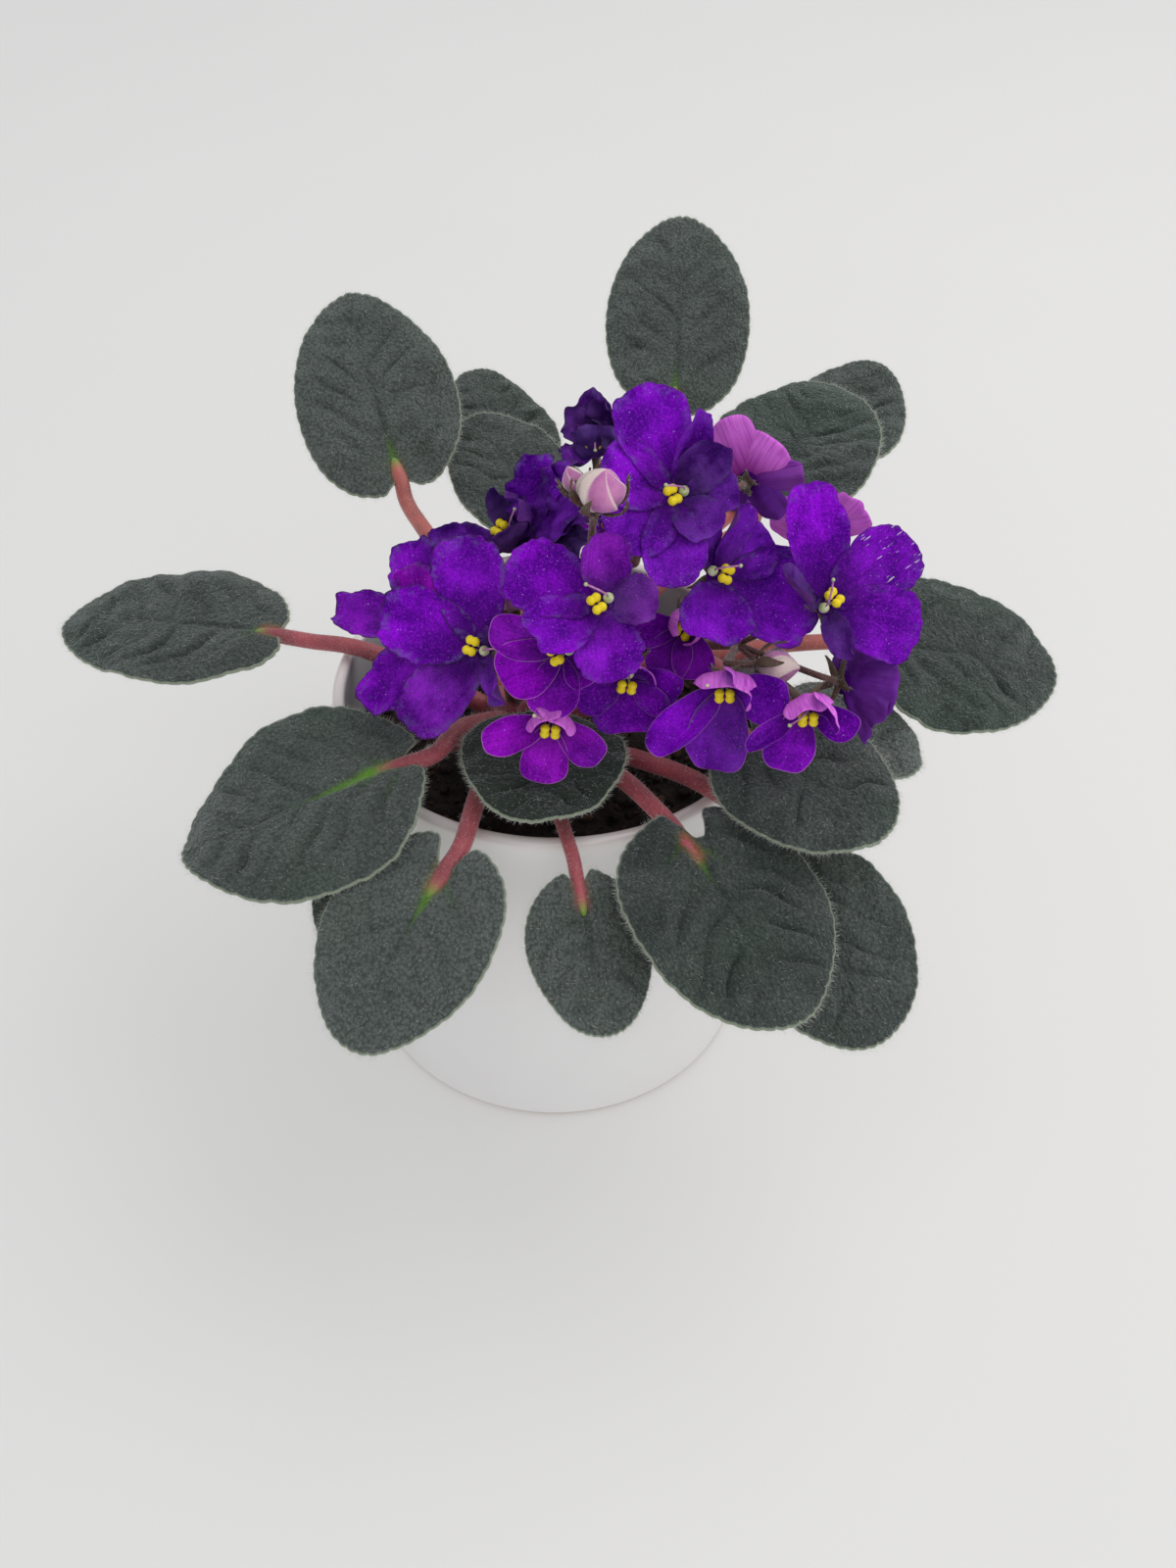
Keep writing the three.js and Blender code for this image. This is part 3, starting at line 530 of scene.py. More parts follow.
blade = {"turns": 300, "rings": 26, "thickness": 0.8, "egg": 0.12, "teeth": 46, "tooth": 0.017,
         "wander": 0.008, "notch": 0.03, "slit": 0.12, "midrib": 0.8, "pitch": 9.5, "forward": 0.5,
         "sweep": 0.022, "vein": 0.9, "veinShade": 1.9, "rib": 1.3, "groove": 0.5, "pillow": 1.3, "quilt": 0.3,
         "cell": 2.6, "lobeLift": 2.2, "margin": 1.0, "outset": 1.004, "keel": 1.8, "keelWidth": 1.7}

palm = {"hairs": 900, "fringe": 620, "length": 1.6, "thickness": 0.04}


def leafTurn(leaf):
    heading, pitch, roll = leaf["way"]
    return turning("Z", heading) @ turning("Y", -pitch) @ turning("X", roll)


# The edge of a blade at each turn round its middle: an oval, wider towards the stalk, with fine round
# teeth, a slow wander of its own, and a slit where the stalk ends.
def leafEdge(leaf, turn, seed):
    length, width = leaf["size"]
    lobe = leaf.get("lobe", 0.06) * length
    half = (length + lobe) / 2
    aside = np.abs(turn - np.pi + np.radians(leaf.get("slit", 0)))
    notched = np.exp(-((np.maximum(0, aside - blade["notch"]) / blade["slit"]) ** 2))
    teeth = blade["tooth"] * (np.sqrt(np.abs(np.sin(turn * blade["teeth"] / 2))) - 0.8)
    wander = blade["wander"] * np.sin(3 * turn + seed) + blade["wander"] * np.sin(5 * turn + 2 * seed)
    crest = 1 + (1 - notched) * (teeth + wander)
    x = half * np.cos(turn) * crest + lobe * notched
    y = width / 2 * np.sin(turn) * (1 - blade["egg"] * np.cos(turn)) * crest
    return x, y


# Heights of a blade at (x, y) along and across it. The veins that leave the midrib are the lines where
# x - forward * |y| - sweep * y^2 is a whole number of pitches, half a pitch apart on the two sides, and they
# wander a little.
def leafRelief(leaf, x, y, share, turn, seed):
    length, width = leaf["size"]
    side = np.abs(y)
    count = (x - blade["forward"] * side - blade["sweep"] * y**2) / blade["pitch"]
    count = count + np.where(y > 0, 0.25, -0.25) + 0.13 * seed
    count = count + 0.16 * ripples(x, y, 17, seed + 70)
    toVein = np.abs(count - np.round(count)) * blade["pitch"]
    inner = ease(share, 1.0, 0.72)
    strength = np.clip(0.75 + 0.45 * ripples(x, y, 16, seed + 60), 0, 1.3) * inner * ease(side, 27, 8)
    strength = strength * leaf.get("crease", 0.75)
    vein = np.exp(-((toVein / blade["vein"]) ** 2)) * strength
    # painted shade: a dark band that fades from each vein towards the next, for the leaf's colour
    veinShade = np.exp(-toVein / blade["veinShade"]) * strength
    phase = (count - np.floor(count)) ** 0.75
    rib = np.exp(-((y / blade["rib"]) ** 2)) * ease(x, length * 0.95, length * 0.1)
    quilt = np.minimum(cells(x, y, blade["cell"], seed), 0.5) * 2
    top = (leaf.get("cup", 0) * (2 * y / width) ** 2 + leaf.get("bend", 0) * (np.maximum(x, 0) / length) ** 2
           + leaf.get("wave", 0) * share**3 * np.sin(3 * turn)
           + blade["lobeLift"] * ease(-x, -1, 4) * np.exp(-((y / 6) ** 2))
           + blade["pillow"] * (4 * phase * (1 - phase) - 0.6) * strength * ease(side, 0.5, 7)
           + (0.75 * ripples(x, y, 26, seed + 40) + 0.3 * ripples(x, y, 9, seed + 50)) * ease(share, 0.1, 0.8)
           - blade["margin"] * share**7)
    fine = blade["quilt"] * quilt * inner
    return top, vein, veinShade, rib, fine

# A blade is one closed shell: its underside from the middle out, its rim, and its upper face back to the
# middle. The midrib and the veins are grooves above and ridges below.
def makeLeaf(name, leaf, seed):
    length, width = leaf["size"]
    turn = np.linspace(0, 2 * np.pi, blade["turns"], endpoint=False)[None]
    edgeX, edgeY = leafEdge(leaf, turn, seed)
    centre = (length - leaf.get("lobe", 0.06) * length) / 2
    share = (np.linspace(0, 1, blade["rings"] + 1)[1:] ** 0.9)[:, None]
    x, y, share, turn = np.broadcast_arrays(centre + share * edgeX, share * edgeY, share, turn)
    top, vein, veinShade, rib, fine = leafRelief(leaf, x, y, share, turn, seed)
    upper = top - blade["midrib"] * rib - blade["groove"] * vein + fine
    taper = np.maximum(0, 1 - x / (0.8 * length))
    keel = blade["keel"] * np.exp(-((y / blade["keelWidth"]) ** 2)) * taper
    lower = top - blade["thickness"] - keel - 0.35 * vein
    rim = stacked(centre + (x[-1:] - centre) * blade["outset"], y[-1:] * blade["outset"],
                  (upper[-1:] + lower[-1:]) / 2)
    face = stacked(x, y, upper)
    rows = np.concatenate([stacked(x, y, lower), rim, face[::-1]])
    redness = np.exp(-((y / 1.5) ** 2)) * ease(x, 8, 4) * ease(x, -3, 0)
    bright, pale = leaf.get("green", 0.12), leaf.get("pale", 0)
    far = length * (0.12 + 0.4 * bright**2)
    greenness = np.exp(-((y / (0.35 + 1.3 * ease(x, far, 3))) ** 2)) * ease(x, far + 4, 5) * ease(x, -4, 2)
    greenness = bright * np.maximum(greenness, 0.6 * vein * np.exp(-((x - 4) ** 2 + y**2) / 6**2))
    # each field above and below. The vein field is painted shade on the upper face, beside each vein and in
    # the midrib's groove, and darkens the veins below.
    fields = {"share": (share, share), "vein": (np.maximum(veinShade, 0.8 * rib), vein * 0.4), "along": (x, x),
              "over": (y, y), "red": (redness, redness * 0.5), "green": (greenness, greenness * 0),
              "under": (share * 0, share * 0 + 1)}
    fields = {key: np.concatenate([below, above[-1:], above[::-1]]) for key, (above, below) in fields.items()}
    matrix = leafTurn(leaf)
    made = shell(rows @ matrix.T + leaf["at"], 0, pale=max(0, pale), deep=max(0, -pale), **fields)
    makePiece("blade_" + name, [made], [leafSkin], ["leaf_" + name])
    # hairs: some stand all over the upper face, and the rest form a fringe that points out from the edge
    draw = np.random.default_rng(seed + 90)
    ring = draw.integers(3, blade["rings"] - 1, palm["hairs"])
    column = draw.integers(0, blade["turns"], palm["hairs"])
    keep = draw.random(palm["hairs"]) < (ring / blade["rings"])
    ring, column = ring[keep], column[keep]
    lean = stacked(draw.normal(0.5, 0.5, len(ring)), draw.normal(0, 0.6, len(ring)), 1.0)
    rimColumn = np.arange(palm["fringe"]) * blade["turns"] // palm["fringe"]
    out = unit(stacked(edgeX[0, rimColumn], edgeY[0, rimColumn], 0.0))
    out = out + draw.normal(0, 0.35, out.shape) + [0, 0, 0.25]
    fringe = rim[0, rimColumn] + draw.normal(0, 0.12, out.shape) * [1, 1, 0]
    places, ways = np.concatenate([face[ring, column], fringe]), np.concatenate([lean, out])
    lengths = palm["length"] * draw.uniform(0.5, 1.25, len(ways))
    lengths[:len(lean)] *= 0.75
    return hairShell(places @ matrix.T + leaf["at"], ways @ matrix.T, lengths, palm["thickness"])


leafHairs = [makeLeaf(name, leaf, seed) for seed, (name, leaf) in enumerate(leaves.items())]
makePiece("leafHairs", leafHairs, [hairSkin])
print("leaves made")


stem = {"at": (-11, 0), "bottom": 86, "top": 113, "bottomRadius": 6.2, "topRadius": 7.4}

# tongue: places along and above the blade's midrib, and the stalk's radius at each
stalk = {"crown": 2.7, "blade": 2.15, "drop": 2.1, "offset": 4.18, "steps": 40, "sides": 20, "hairs": 420,
         "hair": 0.035, "tongue": ((2, -1.85, 2.0), (4, -1.6, 1.75), (6, -1.3, 1.2), (7.5, -1.3, 0.5))}


# The stalk bows up from the stem, runs straight for its last stretch, and ends as a tongue in the blade.
def stalkPath(leaf):
    fromHeight, arch, thick = leaf["stalk"]
    matrix, notch = leafTurn(leaf), np.array(leaf["at"], float)
    local = lambda x, z: matrix @ np.array([x, 0, z * thick]) + notch
    before, end = local(-8, -stalk["drop"] - 0.7), local(-0.3, -stalk["drop"])
    away = np.arctan2(before[1] - stem["at"][1], before[0] - stem["at"][0])
    start = np.append(stem["at"] + stalk["offset"] * np.array([np.cos(away), np.sin(away)]), fromHeight)
    bow = np.array([0, 0, arch])
    bowed = lambda share: start + share * (before - start) + bow * np.sin(np.pi * share**1.3)
    route = smoothPath([start, bowed(0.3), bowed(0.7), before, end], stalk["steps"])
    return np.concatenate([route, [local(x, z) for x, z, _ in stalk["tongue"]]]), thick


def makeStalks():
    red, salmon, hairs = [], [], []
    for seed, (name, leaf) in enumerate(leaves.items()):
        path, thick = stalkPath(leaf)
        share = np.linspace(0, 1, stalk["steps"])
        radius = stalk["crown"] + (stalk["blade"] - stalk["crown"]) * ease(share, 0, 0.8)
        radius = np.concatenate([radius, [r for _, _, r in stalk["tongue"]]]) * thick
        greenness = np.concatenate([share * 0, [0, 0.15, 0.7, 1]])
        made = tube(path, radius * 1.06, radius * 0.96, stalk["sides"], green=greenness)
        (salmon if name.startswith("back") or name == "right" else red).append(made)
        draw = np.random.default_rng(seed + 200)
        step = draw.integers(4, stalk["steps"] - 2, stalk["hairs"])
        angle = draw.uniform(0, 2 * np.pi, stalk["hairs"])[:, None]
        ahead = unit(np.gradient(path, axis=0))[step]
        side = unit(np.cross(ahead, [0, 0, 1]))
        out = side * np.cos(angle) + np.cross(side, ahead) * np.sin(angle)
        places = path[step] + draw.uniform(-0.5, 0.5, (len(step), 1)) * (path[step + 1] - path[step])
        places = places + out * radius[step][:, None] * 0.98
        ways = out + draw.normal(0, 0.25, out.shape)
        hairs.append(hairShell(places, ways, draw.uniform(0.7, 1.7, len(step)), stalk["hair"]))
    makePiece("redStalks", red, [redSkin], ["stem_and_stalks"])
    makePiece("salmonStalks", salmon, [paleRedSkin])
    makePiece("stalkHairs", hairs, [hairSkin])
    share = np.linspace(0, 1, 30)
    radii = 0.45 * np.sin(share * 26) + np.interp(share, [0, 1], [stem["bottomRadius"], stem["topRadius"]])
    rings = stacked(radii, stem["bottom"] + share * (stem["top"] - stem["bottom"]))
    profile = np.concatenate([[(2.5, stem["bottom"])], rings, [(3, stem["top"] + 1.4)]])
    makePiece("crown", [turned(profile, 40, (*stem["at"], 0), green=0)], [redSkin])


makeStalks()
print("stem and leaf stalks made")


# at: the throat. way: heading, tilt and spin of the bloom's top. tone (0 violet, 1 magenta) and pink (how
# rosy its backs are) are one number, or one for each petal. age: how worn and ruffled it is, and crumpled
# too from 0.95. torn: how ragged its rims are, where that isn't its age. style: the way it leans, turned left
# from the top, and how far. sepal: how far its sepals reach. scratch: the petal with white scratches, counted
# from 0. petals: how far each is turned left from the top, seen from its front, its length and width, how far
# it folds forward, and, where they aren't 0, its curl, its twist and how far painted shade darkens it.
blooms = {
    "left": {"at": (-16.7, -31.7, 157.3), "way": (-112, 42, 95), "tone": (0.1, 0.1, 0.4, 0.1, 0.1),
        "pink": 0.15, "age": 0.8, "style": (20, 50), "petals": [(322, 18, 6.5, 38, 0, 50, 0.4),
        (54, 9.5, 6.5, 50, 0, 30, 0.4), (250, 25.5, 16, 12, -6, 0, 0.2), (179, 25.5, 17.5, 14, 6),
        (118, 27, 18, 9, -6)]},
    "far_left": {"at": (-32.4, -14.7, 150.2), "way": (-140, 50, 0), "tone": (1, 0.4, 0.2, 0.5, 0.2),
        "pink": 0.5, "age": 0.8, "style": (30, 50), "petals": [(47, 16, 12, 16, 10), (296, 14, 14.5, 15),
        (200, 25, 18.5, 10), (115, 26, 12.5, 14, 0, 10), (49, 23.5, 14.5, 10)]},
    # its last three petals fill dark gaps behind the blooms, and their darkness is painted shade
    "back_left": {"at": (-12.3, 5, 164), "way": (-120, 62, 95), "tone": 0, "pink": 0.1, "age": 1,
        "style": (80, 40), "petals": [(330, 14, 13, 45, 95, 0, 0.7), (7, 29, 11, 10, 50, 0, 0.85),
        (44, 28, 18.5, 28, 20, 0, 0.3), (78, 23, 15, 25, 30, 0, 0.1), (226, 20.5, 8.5, 30, 10, -50, 0.3),
        (28, 27, 12, 22, 30, 0, 0.45), (62, 15, 13, 45, 80, 0, 0.3), (135, 12.5, 6, 40, 20, 0, 0.8)]},
    "withered": {"at": (9.4, 33, 174), "way": (-100, 60, 0), "tone": 0.3, "pink": 0, "age": 1,
        "style": (190, 75), "petals": [(64, 12.5, 9, 50, 30, 0, 0.6), (14, 14, 10, 45, 30, 0, 0.5),
        (339, 12.5, 11, 45, 30, 0, 0.7), (143, 11.5, 9, 25, 20, 0, 0.45), (190, 12, 12, 118, 20, 0, 0.6),
        (300, 10.5, 9, 105, 30, 0, 0.75)]},
    "top": {"at": (28.3, -16.6, 191.4), "way": (-80, 50, 70), "tone": 0.05, "pink": 0.1, "age": 0.5,
        "style": (160, 50), "petals": [(21, 17, 11, 38, 30, 20, 0.55), (50, 21, 8, 42, 0, 40, 0.3),
        (136, 19.5, 16, 12), (84, 26.5, 17.5, 8, -8), (238, 23, 15, 15, 0, 0, 0.1),
        (337, 14.5, 11, 22, -10, 0, 0.5), (192, 19.5, 17, 12, 0, 0, 0.1), (282, 13.5, 12, 25, 0, 0, 0.5)]},
    "centre": {"at": (11.9, -39.3, 177.7), "way": (-92, 52, 55), "tone": (0.7, 0.8, 0.2, 0.1, 0.2),
        "pink": 0.3, "age": 0.4, "torn": 0.9, "style": (130, 50),
        "petals": [(51, 15.5, 11.5, 28, -10, 0, 0.2), (328, 13, 11.5, 24, -10, 0, 0.5), (245, 19, 15, 8, 8),
        (178, 19.5, 14, 16, 16), (128, 23, 17, 10, 8)]},
    "front_left": {"at": (3.5, -40.6, 164.4), "way": (-110, 30, 55), "tone": 0.7, "pink": 0.9, "age": 0,
        "style": (60, 40), "petals": [(39, 8.5, 7.5, 50), (292, 10, 8, 22), (235, 15.5, 12.5, 14),
        (180, 16.5, 13.5, 17, 6), (138, 18, 10, 20)]},
    "inner_right": {"at": (32.1, -20.9, 157), "way": (-85, 35, 35), "tone": 0.7, "pink": 1, "age": 0,
        "style": (60, 40), "petals": [(80, 12.5, 8, 100, 0, 10), (268, 11, 8, 100, 5), (226, 13.5, 10, 17),
        (185, 14.5, 11, 13), (129, 13.5, 8, 16)]},
    "right": {"at": (39, -20.3, 172.2), "way": (-75, 48, -62), "tone": 0, "pink": 0.25, "age": 0.6,
        "style": (200, 50), "petals": [(317, 18.5, 8.5, 50, 0, 40, 0.3), (270, 19, 8, 34, 0, 60, 0.3),
        (101, 19, 17.5, 20, 12), (178, 25.5, 23.5, 9, 0, 0, 0.1), (235, 15.5, 14, 15, 0, 0, 0.12)]},
    "far_right": {"at": (64, -28.5, 170.5), "way": (-72, 48, 235), "tone": 0.15, "pink": 0.3, "age": 0.35,
        "torn": 0.7, "sepal": 4, "scratch": 3, "style": (-140, 55),
        "petals": [(305, 24, 9, 55, 0, 45, 0.65), (58, 15, 7, 30, 0, 60, 0.6), (113, 23, 17.5, 13),
        (169, 25.5, 16.5, 9, 8), (234, 28, 15.5, 12, -6)]},
    "low_right": {"at": (40.8, -42.8, 157.2), "way": (-95, 15, -5), "tone": 0.1, "pink": 0.8, "age": 0.2,
        "sepal": 5, "style": (60, 40), "petals": [(355, 12.5, 14, 88, 10), (303, 14.5, 11, 80, 5, -10),
        (254, 15.5, 13, 12), (173, 21.5, 14.5, 9, 0, 0, 0.2), (131, 23.5, 9.5, 10, 0, 30)]},
    "low_far_right": {"at": (59.3, -48.8, 155.7), "way": (-85, 20, 0), "tone": 0.35, "pink": 1, "age": 0,
        "style": (120, 60), "petals": [(12, 11, 11, 95, 15), (295, 14, 10, 78, 20), (250, 13, 8, 26),
        (155, 15.5, 11.5, 13), (115, 18, 5, 30, 0, 60)]},
    "front_low": {"at": (0.7, -46.9, 148.2), "way": (-92, 24, 4), "tone": 0.9, "pink": 1, "age": 0,
        "style": (60, 40), "petals": [(30, 10, 11, 104, 5), (330, 10, 11, 106, 5), (244, 15, 9, 18),
        (176, 15, 11, 11), (110, 17, 9, 16)]},
    "front_under": {"at": (18.2, -36.3, 153.7), "way": (-85, 10, 10), "tone": 0.3, "pink": 0.6, "age": 0.3,
        "style": (30, 40), "petals": [(40, 10, 9, 70), (320, 10, 9, 70), (257, 13.5, 12.5, 12),
        (198, 15, 19, 8), (113, 14, 13, 12, 20)]},
    "inner": {"at": (14.6, 7.8, 166.8), "way": (-95, 50, 20), "tone": 0.6, "pink": 0.8, "age": 0,
        "style": (30, 40), "petals": [(40, 8, 8, 40), (320, 8, 8, 40), (254, 5.5, 6.5, 30),
        (188, 9.5, 7, 20), (127, 9, 7.5, 30)]},
    "back_right": {"at": (48.4, 17.7, 173.7), "way": (60, -10, 180), "tone": 0.1,
        "pink": (0.1, 0.1, 1, 1, 0.25), "age": 0, "sepal": 3.5, "style": (30, 40),
        "petals": [(20, 11, 10, 15), (312, 13, 9, 15), (139, 16.5, 13, 8), (199, 12.5, 12.5, 12, 10),
        (252, 14.5, 8, 20)]},
    "back_far_right": {"at": (70.5, 26, 152), "way": (60, 5, 0), "tone": 0.4, "pink": 0.9, "age": 0,
        "style": (30, 40), "petals": [(31, 15, 9, 12), (330, 13, 10, 12), (262, 17, 13, 10),
        (190, 11, 10, 15), (57, 14.5, 8, 15)]},
    "right_turned": {"at": (70, -35.5, 152.5), "way": (20, -30, 113), "tone": 0, "pink": 0.1, "age": 0.5,
        "style": (30, 40), "petals": [(46, 13.5, 9, 20), (133, 10, 12, 15), (167, 16, 13, 8),
        (193, 15, 10, 10), (227, 15.5, 6, 18, 0, 20)]},
}

petal = {"root": 1.2, "hinge": 2.4, "fold": 3.5, "egg": 0.22, "round": 0.78, "cup": 1.5, "thickness": 0.4,
         "ruffle": 0.42, "overlap": 3, "turns": 96, "rings": 18}


# The frame of a bloom or bud: columns are its side, its top and its front.
def facing(way):
    heading, tilt, spin = way
    east, north = np.cos(np.radians(heading)), np.sin(np.radians(heading))

    def towards(rise):
        level = np.cos(np.radians(rise))
        return np.array([level * east, level * north, np.sin(np.radians(rise))])

    front, top = towards(tilt), towards(tilt + 90)
    top = np.array(Matrix.Rotation(-np.radians(spin), 3, front)) @ top
    return np.stack([np.cross(top, front), top, front], -1)


# One petal as a thin egg-shaped sheet. Along it the surface turns forward by lift over its fold and by
# curl over its whole length, and the heights and lengths are the running sums of that angle's sine and
# cosine. Across it the edges rise with the square of the distance, twist turns the strip about its own
# midline in step with the length, and the rim ripples. Old petals have a ragged rim, and the oldest are
# crumpled.
def petalShell(bloom, number, seed):
    draw = np.random.default_rng(seed)
    around, length, width, lift, curl, twist, shade = (*bloom["petals"][number], 0, 0, 0)[:7]
    turn = np.linspace(0, 2 * np.pi, petal["turns"], endpoint=False)[None]
    share = (np.linspace(0, 1, petal["rings"] + 1)[1:] ** 0.85)[:, None]
    root, sine, cosine = petal["root"], np.sin(turn), np.cos(turn)
    age, torn = bloom["age"], bloom.get("torn", bloom["age"])
    pink, tone = (np.broadcast_to(bloom[key], len(bloom["petals"]))[number] for key in ("pink", "tone"))
    phases = draw.uniform(0, 2 * np.pi, 8)
    wander = (1 + 0.03 * np.sin(3 * turn + phases[0]) + (0.01 + 0.012 * torn) * np.sin(7 * turn + phases[1])
              + torn * 0.012 * np.sin(16 * turn + phases[2]) + torn * 0.014 * np.sin(25 * turn + phases[3])
              - torn * 0.08 * np.maximum(0, np.sin(3 * turn + phases[4])) ** 24)
    # painted shade: each petal is darkened a little more, by a random amount
    shade = shade + draw.uniform(0, 0.16)
    reached = share**2 * (wander - 1) + 1
    x = (length + root) / 2 + share * (length - root) / 2 * cosine * reached
    wider = 1 + petal["egg"] * cosine
    y = share * width / 2 * np.sign(sine) * np.abs(sine) ** petal["round"] * wider * reached
    share = np.broadcast_to(share, x.shape)
    far = ease(x, 0.2 * length, length)
    ripple = np.sin(5 * turn + phases[4] + np.sin(2 * turn))
    ruffle = petal["ruffle"] * (1 + 1.6 * age) * share**4 * ripple * far
    winding = y / width * 11 + phases[5] + 0.8 * np.sin(x / length * 5 + phases[6])
    folds = (0.3 + 0.4 * age) * np.sin(winding) * far
    crease = -0.4 * np.exp(-((y / 1.1) ** 2)) * ease(x, 1, 6) * (1 - 0.5 * far)
    crumple = 1.1 * (age > 0.95) * ripples(x, y, 6, seed) * ease(share, 0.1, 0.8)
    slope = np.tan(np.radians(petal["overlap"]))
    height = petal["cup"] * (2 * y / width) ** 2 + ruffle + folds + crease + crumple + slope * y
    steps = np.linspace(0, length * 1.1, 200)
    folded = ease(steps, petal["hinge"] - 1, petal["hinge"] + petal["fold"])
    angle = np.radians(lift) * folded + np.radians(curl) * (steps / length) ** 2
    gap = steps[1] - steps[0]
    ahead, rise = np.cumsum(np.cos(angle)) * gap, np.cumsum(np.sin(angle)) * gap
    lean, roll = np.interp(x, steps, angle), np.radians(twist) * x / length
    sheets = []
    for depth in (petal["thickness"], 0):
        up = height - depth * ease(1 - share, -0.02, 0.12)
        side = -y * np.cos(roll) + up * np.sin(roll)
        over = y * np.sin(roll) + up * np.cos(roll)
        sheets.append(stacked(side, np.interp(x, steps, ahead) - over * np.sin(lean),
                              np.interp(x, steps, rise) + over * np.cos(lean)))
    rows = np.concatenate([sheets[0], sheets[1][::-1]]) @ turning("Z", around).T
    both = lambda field: np.concatenate([field, field[::-1]])
    scratch = float(bloom.get("scratch") == number) * ease(both(x / length), 0.5, 0.65)
    return shell(rows, 0, share=both(share), reach=both(x / length), across=both(y / width),
                 number=float(seed % 17), under=np.concatenate([share * 0 + 1, share * 0]),
                 tone=tone, pink=pink, age=age, shade=shade, scratch=scratch)


# The corolla's small throat: a shallow dish behind the petals' roots.
def throatShell():
    profile = [(0.8, -1.0), (1.9, -0.85), (2.8, -0.2), (2.6, 0.05), (1.5, -0.3), (0.6, -0.4)]
    return turned(profile, 24, share=0.5, tone=0.2)


heart = {"ovary": (0, 1.6, 1.3), "ovaryRadius": 1.25, "styleLength": 7.5, "styleRadius": 0.24, "knob": 0.48,
         "anther": 1.75, "antherRadius": 1.35, "spacing": 1.25, "offset": -1.5, "rise": 2.6,
         "post": 0.35}


# An egg: a circle of latitude at each height, its radius the sine of the angle from the pole. A waist
# pinches it in the middle.
def egg(radius, length, middle, waist=0.0, skin=0, lying=False, steps=14, sides=18):
    angle = np.linspace(0.12, np.pi - 0.12, steps)
    height = -length * np.cos(angle)
    girth = radius * np.sin(angle) * (1 - waist * np.exp(-((height / (0.35 * length)) ** 2)))
    made = turned(stacked(girth, height), sides, skin=skin)
    if lying:
        made["points"] = made["points"] @ turning("X", -90).T
    made["points"] = made["points"] + middle
    return made


# The heart of a bloom: ovary, style with its knob, two anthers of two lobes each and the posts that bear
# them. The style leaves the ovary upright and bends over to its lean.
def heartShells(bloom):
    ovary = np.array(heart["ovary"], float)
    away, lean = np.radians(bloom["style"])
    leans = lean * np.array([0.35, 0.85, 1.15, 1.35])
    steps = heart["styleLength"] / 4
    out, up = np.cumsum(np.sin(leans)) * steps, np.cumsum(np.cos(leans)) * steps
    top = ovary + [0, 0, 0.9]
    bent = top + stacked(-np.sin(away) * out, np.cos(away) * out, up)
    path = smoothPath(np.concatenate([[top - [0, 0, 0.6], top], bent]), 18)
    shells = [egg(heart["ovaryRadius"], 1.5, ovary, skin=1),
              tube(path, heart["styleRadius"], heart["styleRadius"], 8, above=(0.3, 0.9, 0.1), skin=2),
              egg(heart["knob"], heart["knob"], path[-1], skin=1, steps=8, sides=10)]
    offset, rise = heart["offset"], heart["rise"]
    for side in (-1, 1):
        middle = (side * heart["spacing"], offset, rise)
        shells.append(egg(heart["antherRadius"], heart["anther"], middle, 0.3, lying=True,
                          steps=20, sides=16))
        post = smoothPath([(side * 0.5, offset + 0.9, -0.2), (side * 0.7, offset + 0.6, 1.2),
                           (side * 0.9, offset, rise - 0.5)], 8)
        shells.append(tube(post, heart["post"], heart["post"], 8, above=(1, 0, 0), skin=1))
    return shells


def placed(shells, thing):
    matrix = facing(thing["way"])
    for s in shells:
        s["points"] = s["points"] @ matrix.T + thing["at"]
    return shells


heartSkins = [antherSkin, ovarySkin, styleSkin]
for seed, (name, bloom) in enumerate(blooms.items()):
    corolla = [petalShell(bloom, number, 30 + seed * 6 + number) for number in range(len(bloom["petals"]))]
    corolla.append(throatShell())
    makePiece("corolla_" + name, placed(corolla, bloom), [petalSkin], ["bloom_" + name])
    makePiece("heart_" + name, placed(heartShells(bloom), bloom), heartSkins, ["anthers_" + name])
print("blooms made")


buds = {
    "top": {"at": (10.3, -28.5, 195.7), "way": (-40, 78, 0), "length": 11, "radius": 5.8},
    "top_small": {"at": (6, -5.7, 184.3), "way": (150, 60, 0), "length": 7, "radius": 3},
    "left": {"at": (-8.7, -17.1, 160.9), "way": (-100, 50, 0), "length": 9, "radius": 4},
    "right": {"at": (49, -35, 157), "way": (-10, 5, 0), "length": 10, "radius": 4.6},
}


# A bud is an egg of five closed petals that overlap: its radius grows round each petal and steps back at
# the next, and the steps wind a little from base to tip.
def budShell(bud):
    turn = np.linspace(0, 2 * np.pi, 120, endpoint=False)[None]
    share = np.linspace(0.01, 0.985, 40)[:, None]
    count = turn * 5 / (2 * np.pi) + 0.9 * share
    phase = count % 1
    girth = bud["radius"] * np.sin(np.pi * share**0.8) ** 0.8
    radius = girth * (0.82 + 0.18 * phase ** 1.5 * np.sin(np.pi * share) ** 0.5)
    crest = np.maximum(ease(phase, 0.86, 0.97), np.floor(count) % 5 == 2)
    return shell(stacked(radius * np.cos(turn), radius * np.sin(turn), bud["length"] * share), 0, crest=crest)


for name, bud in buds.items():
    makePiece("closedBud_" + name, placed([budShell(bud)], bud), [budSkin], ["bud_" + name])
print("buds made")


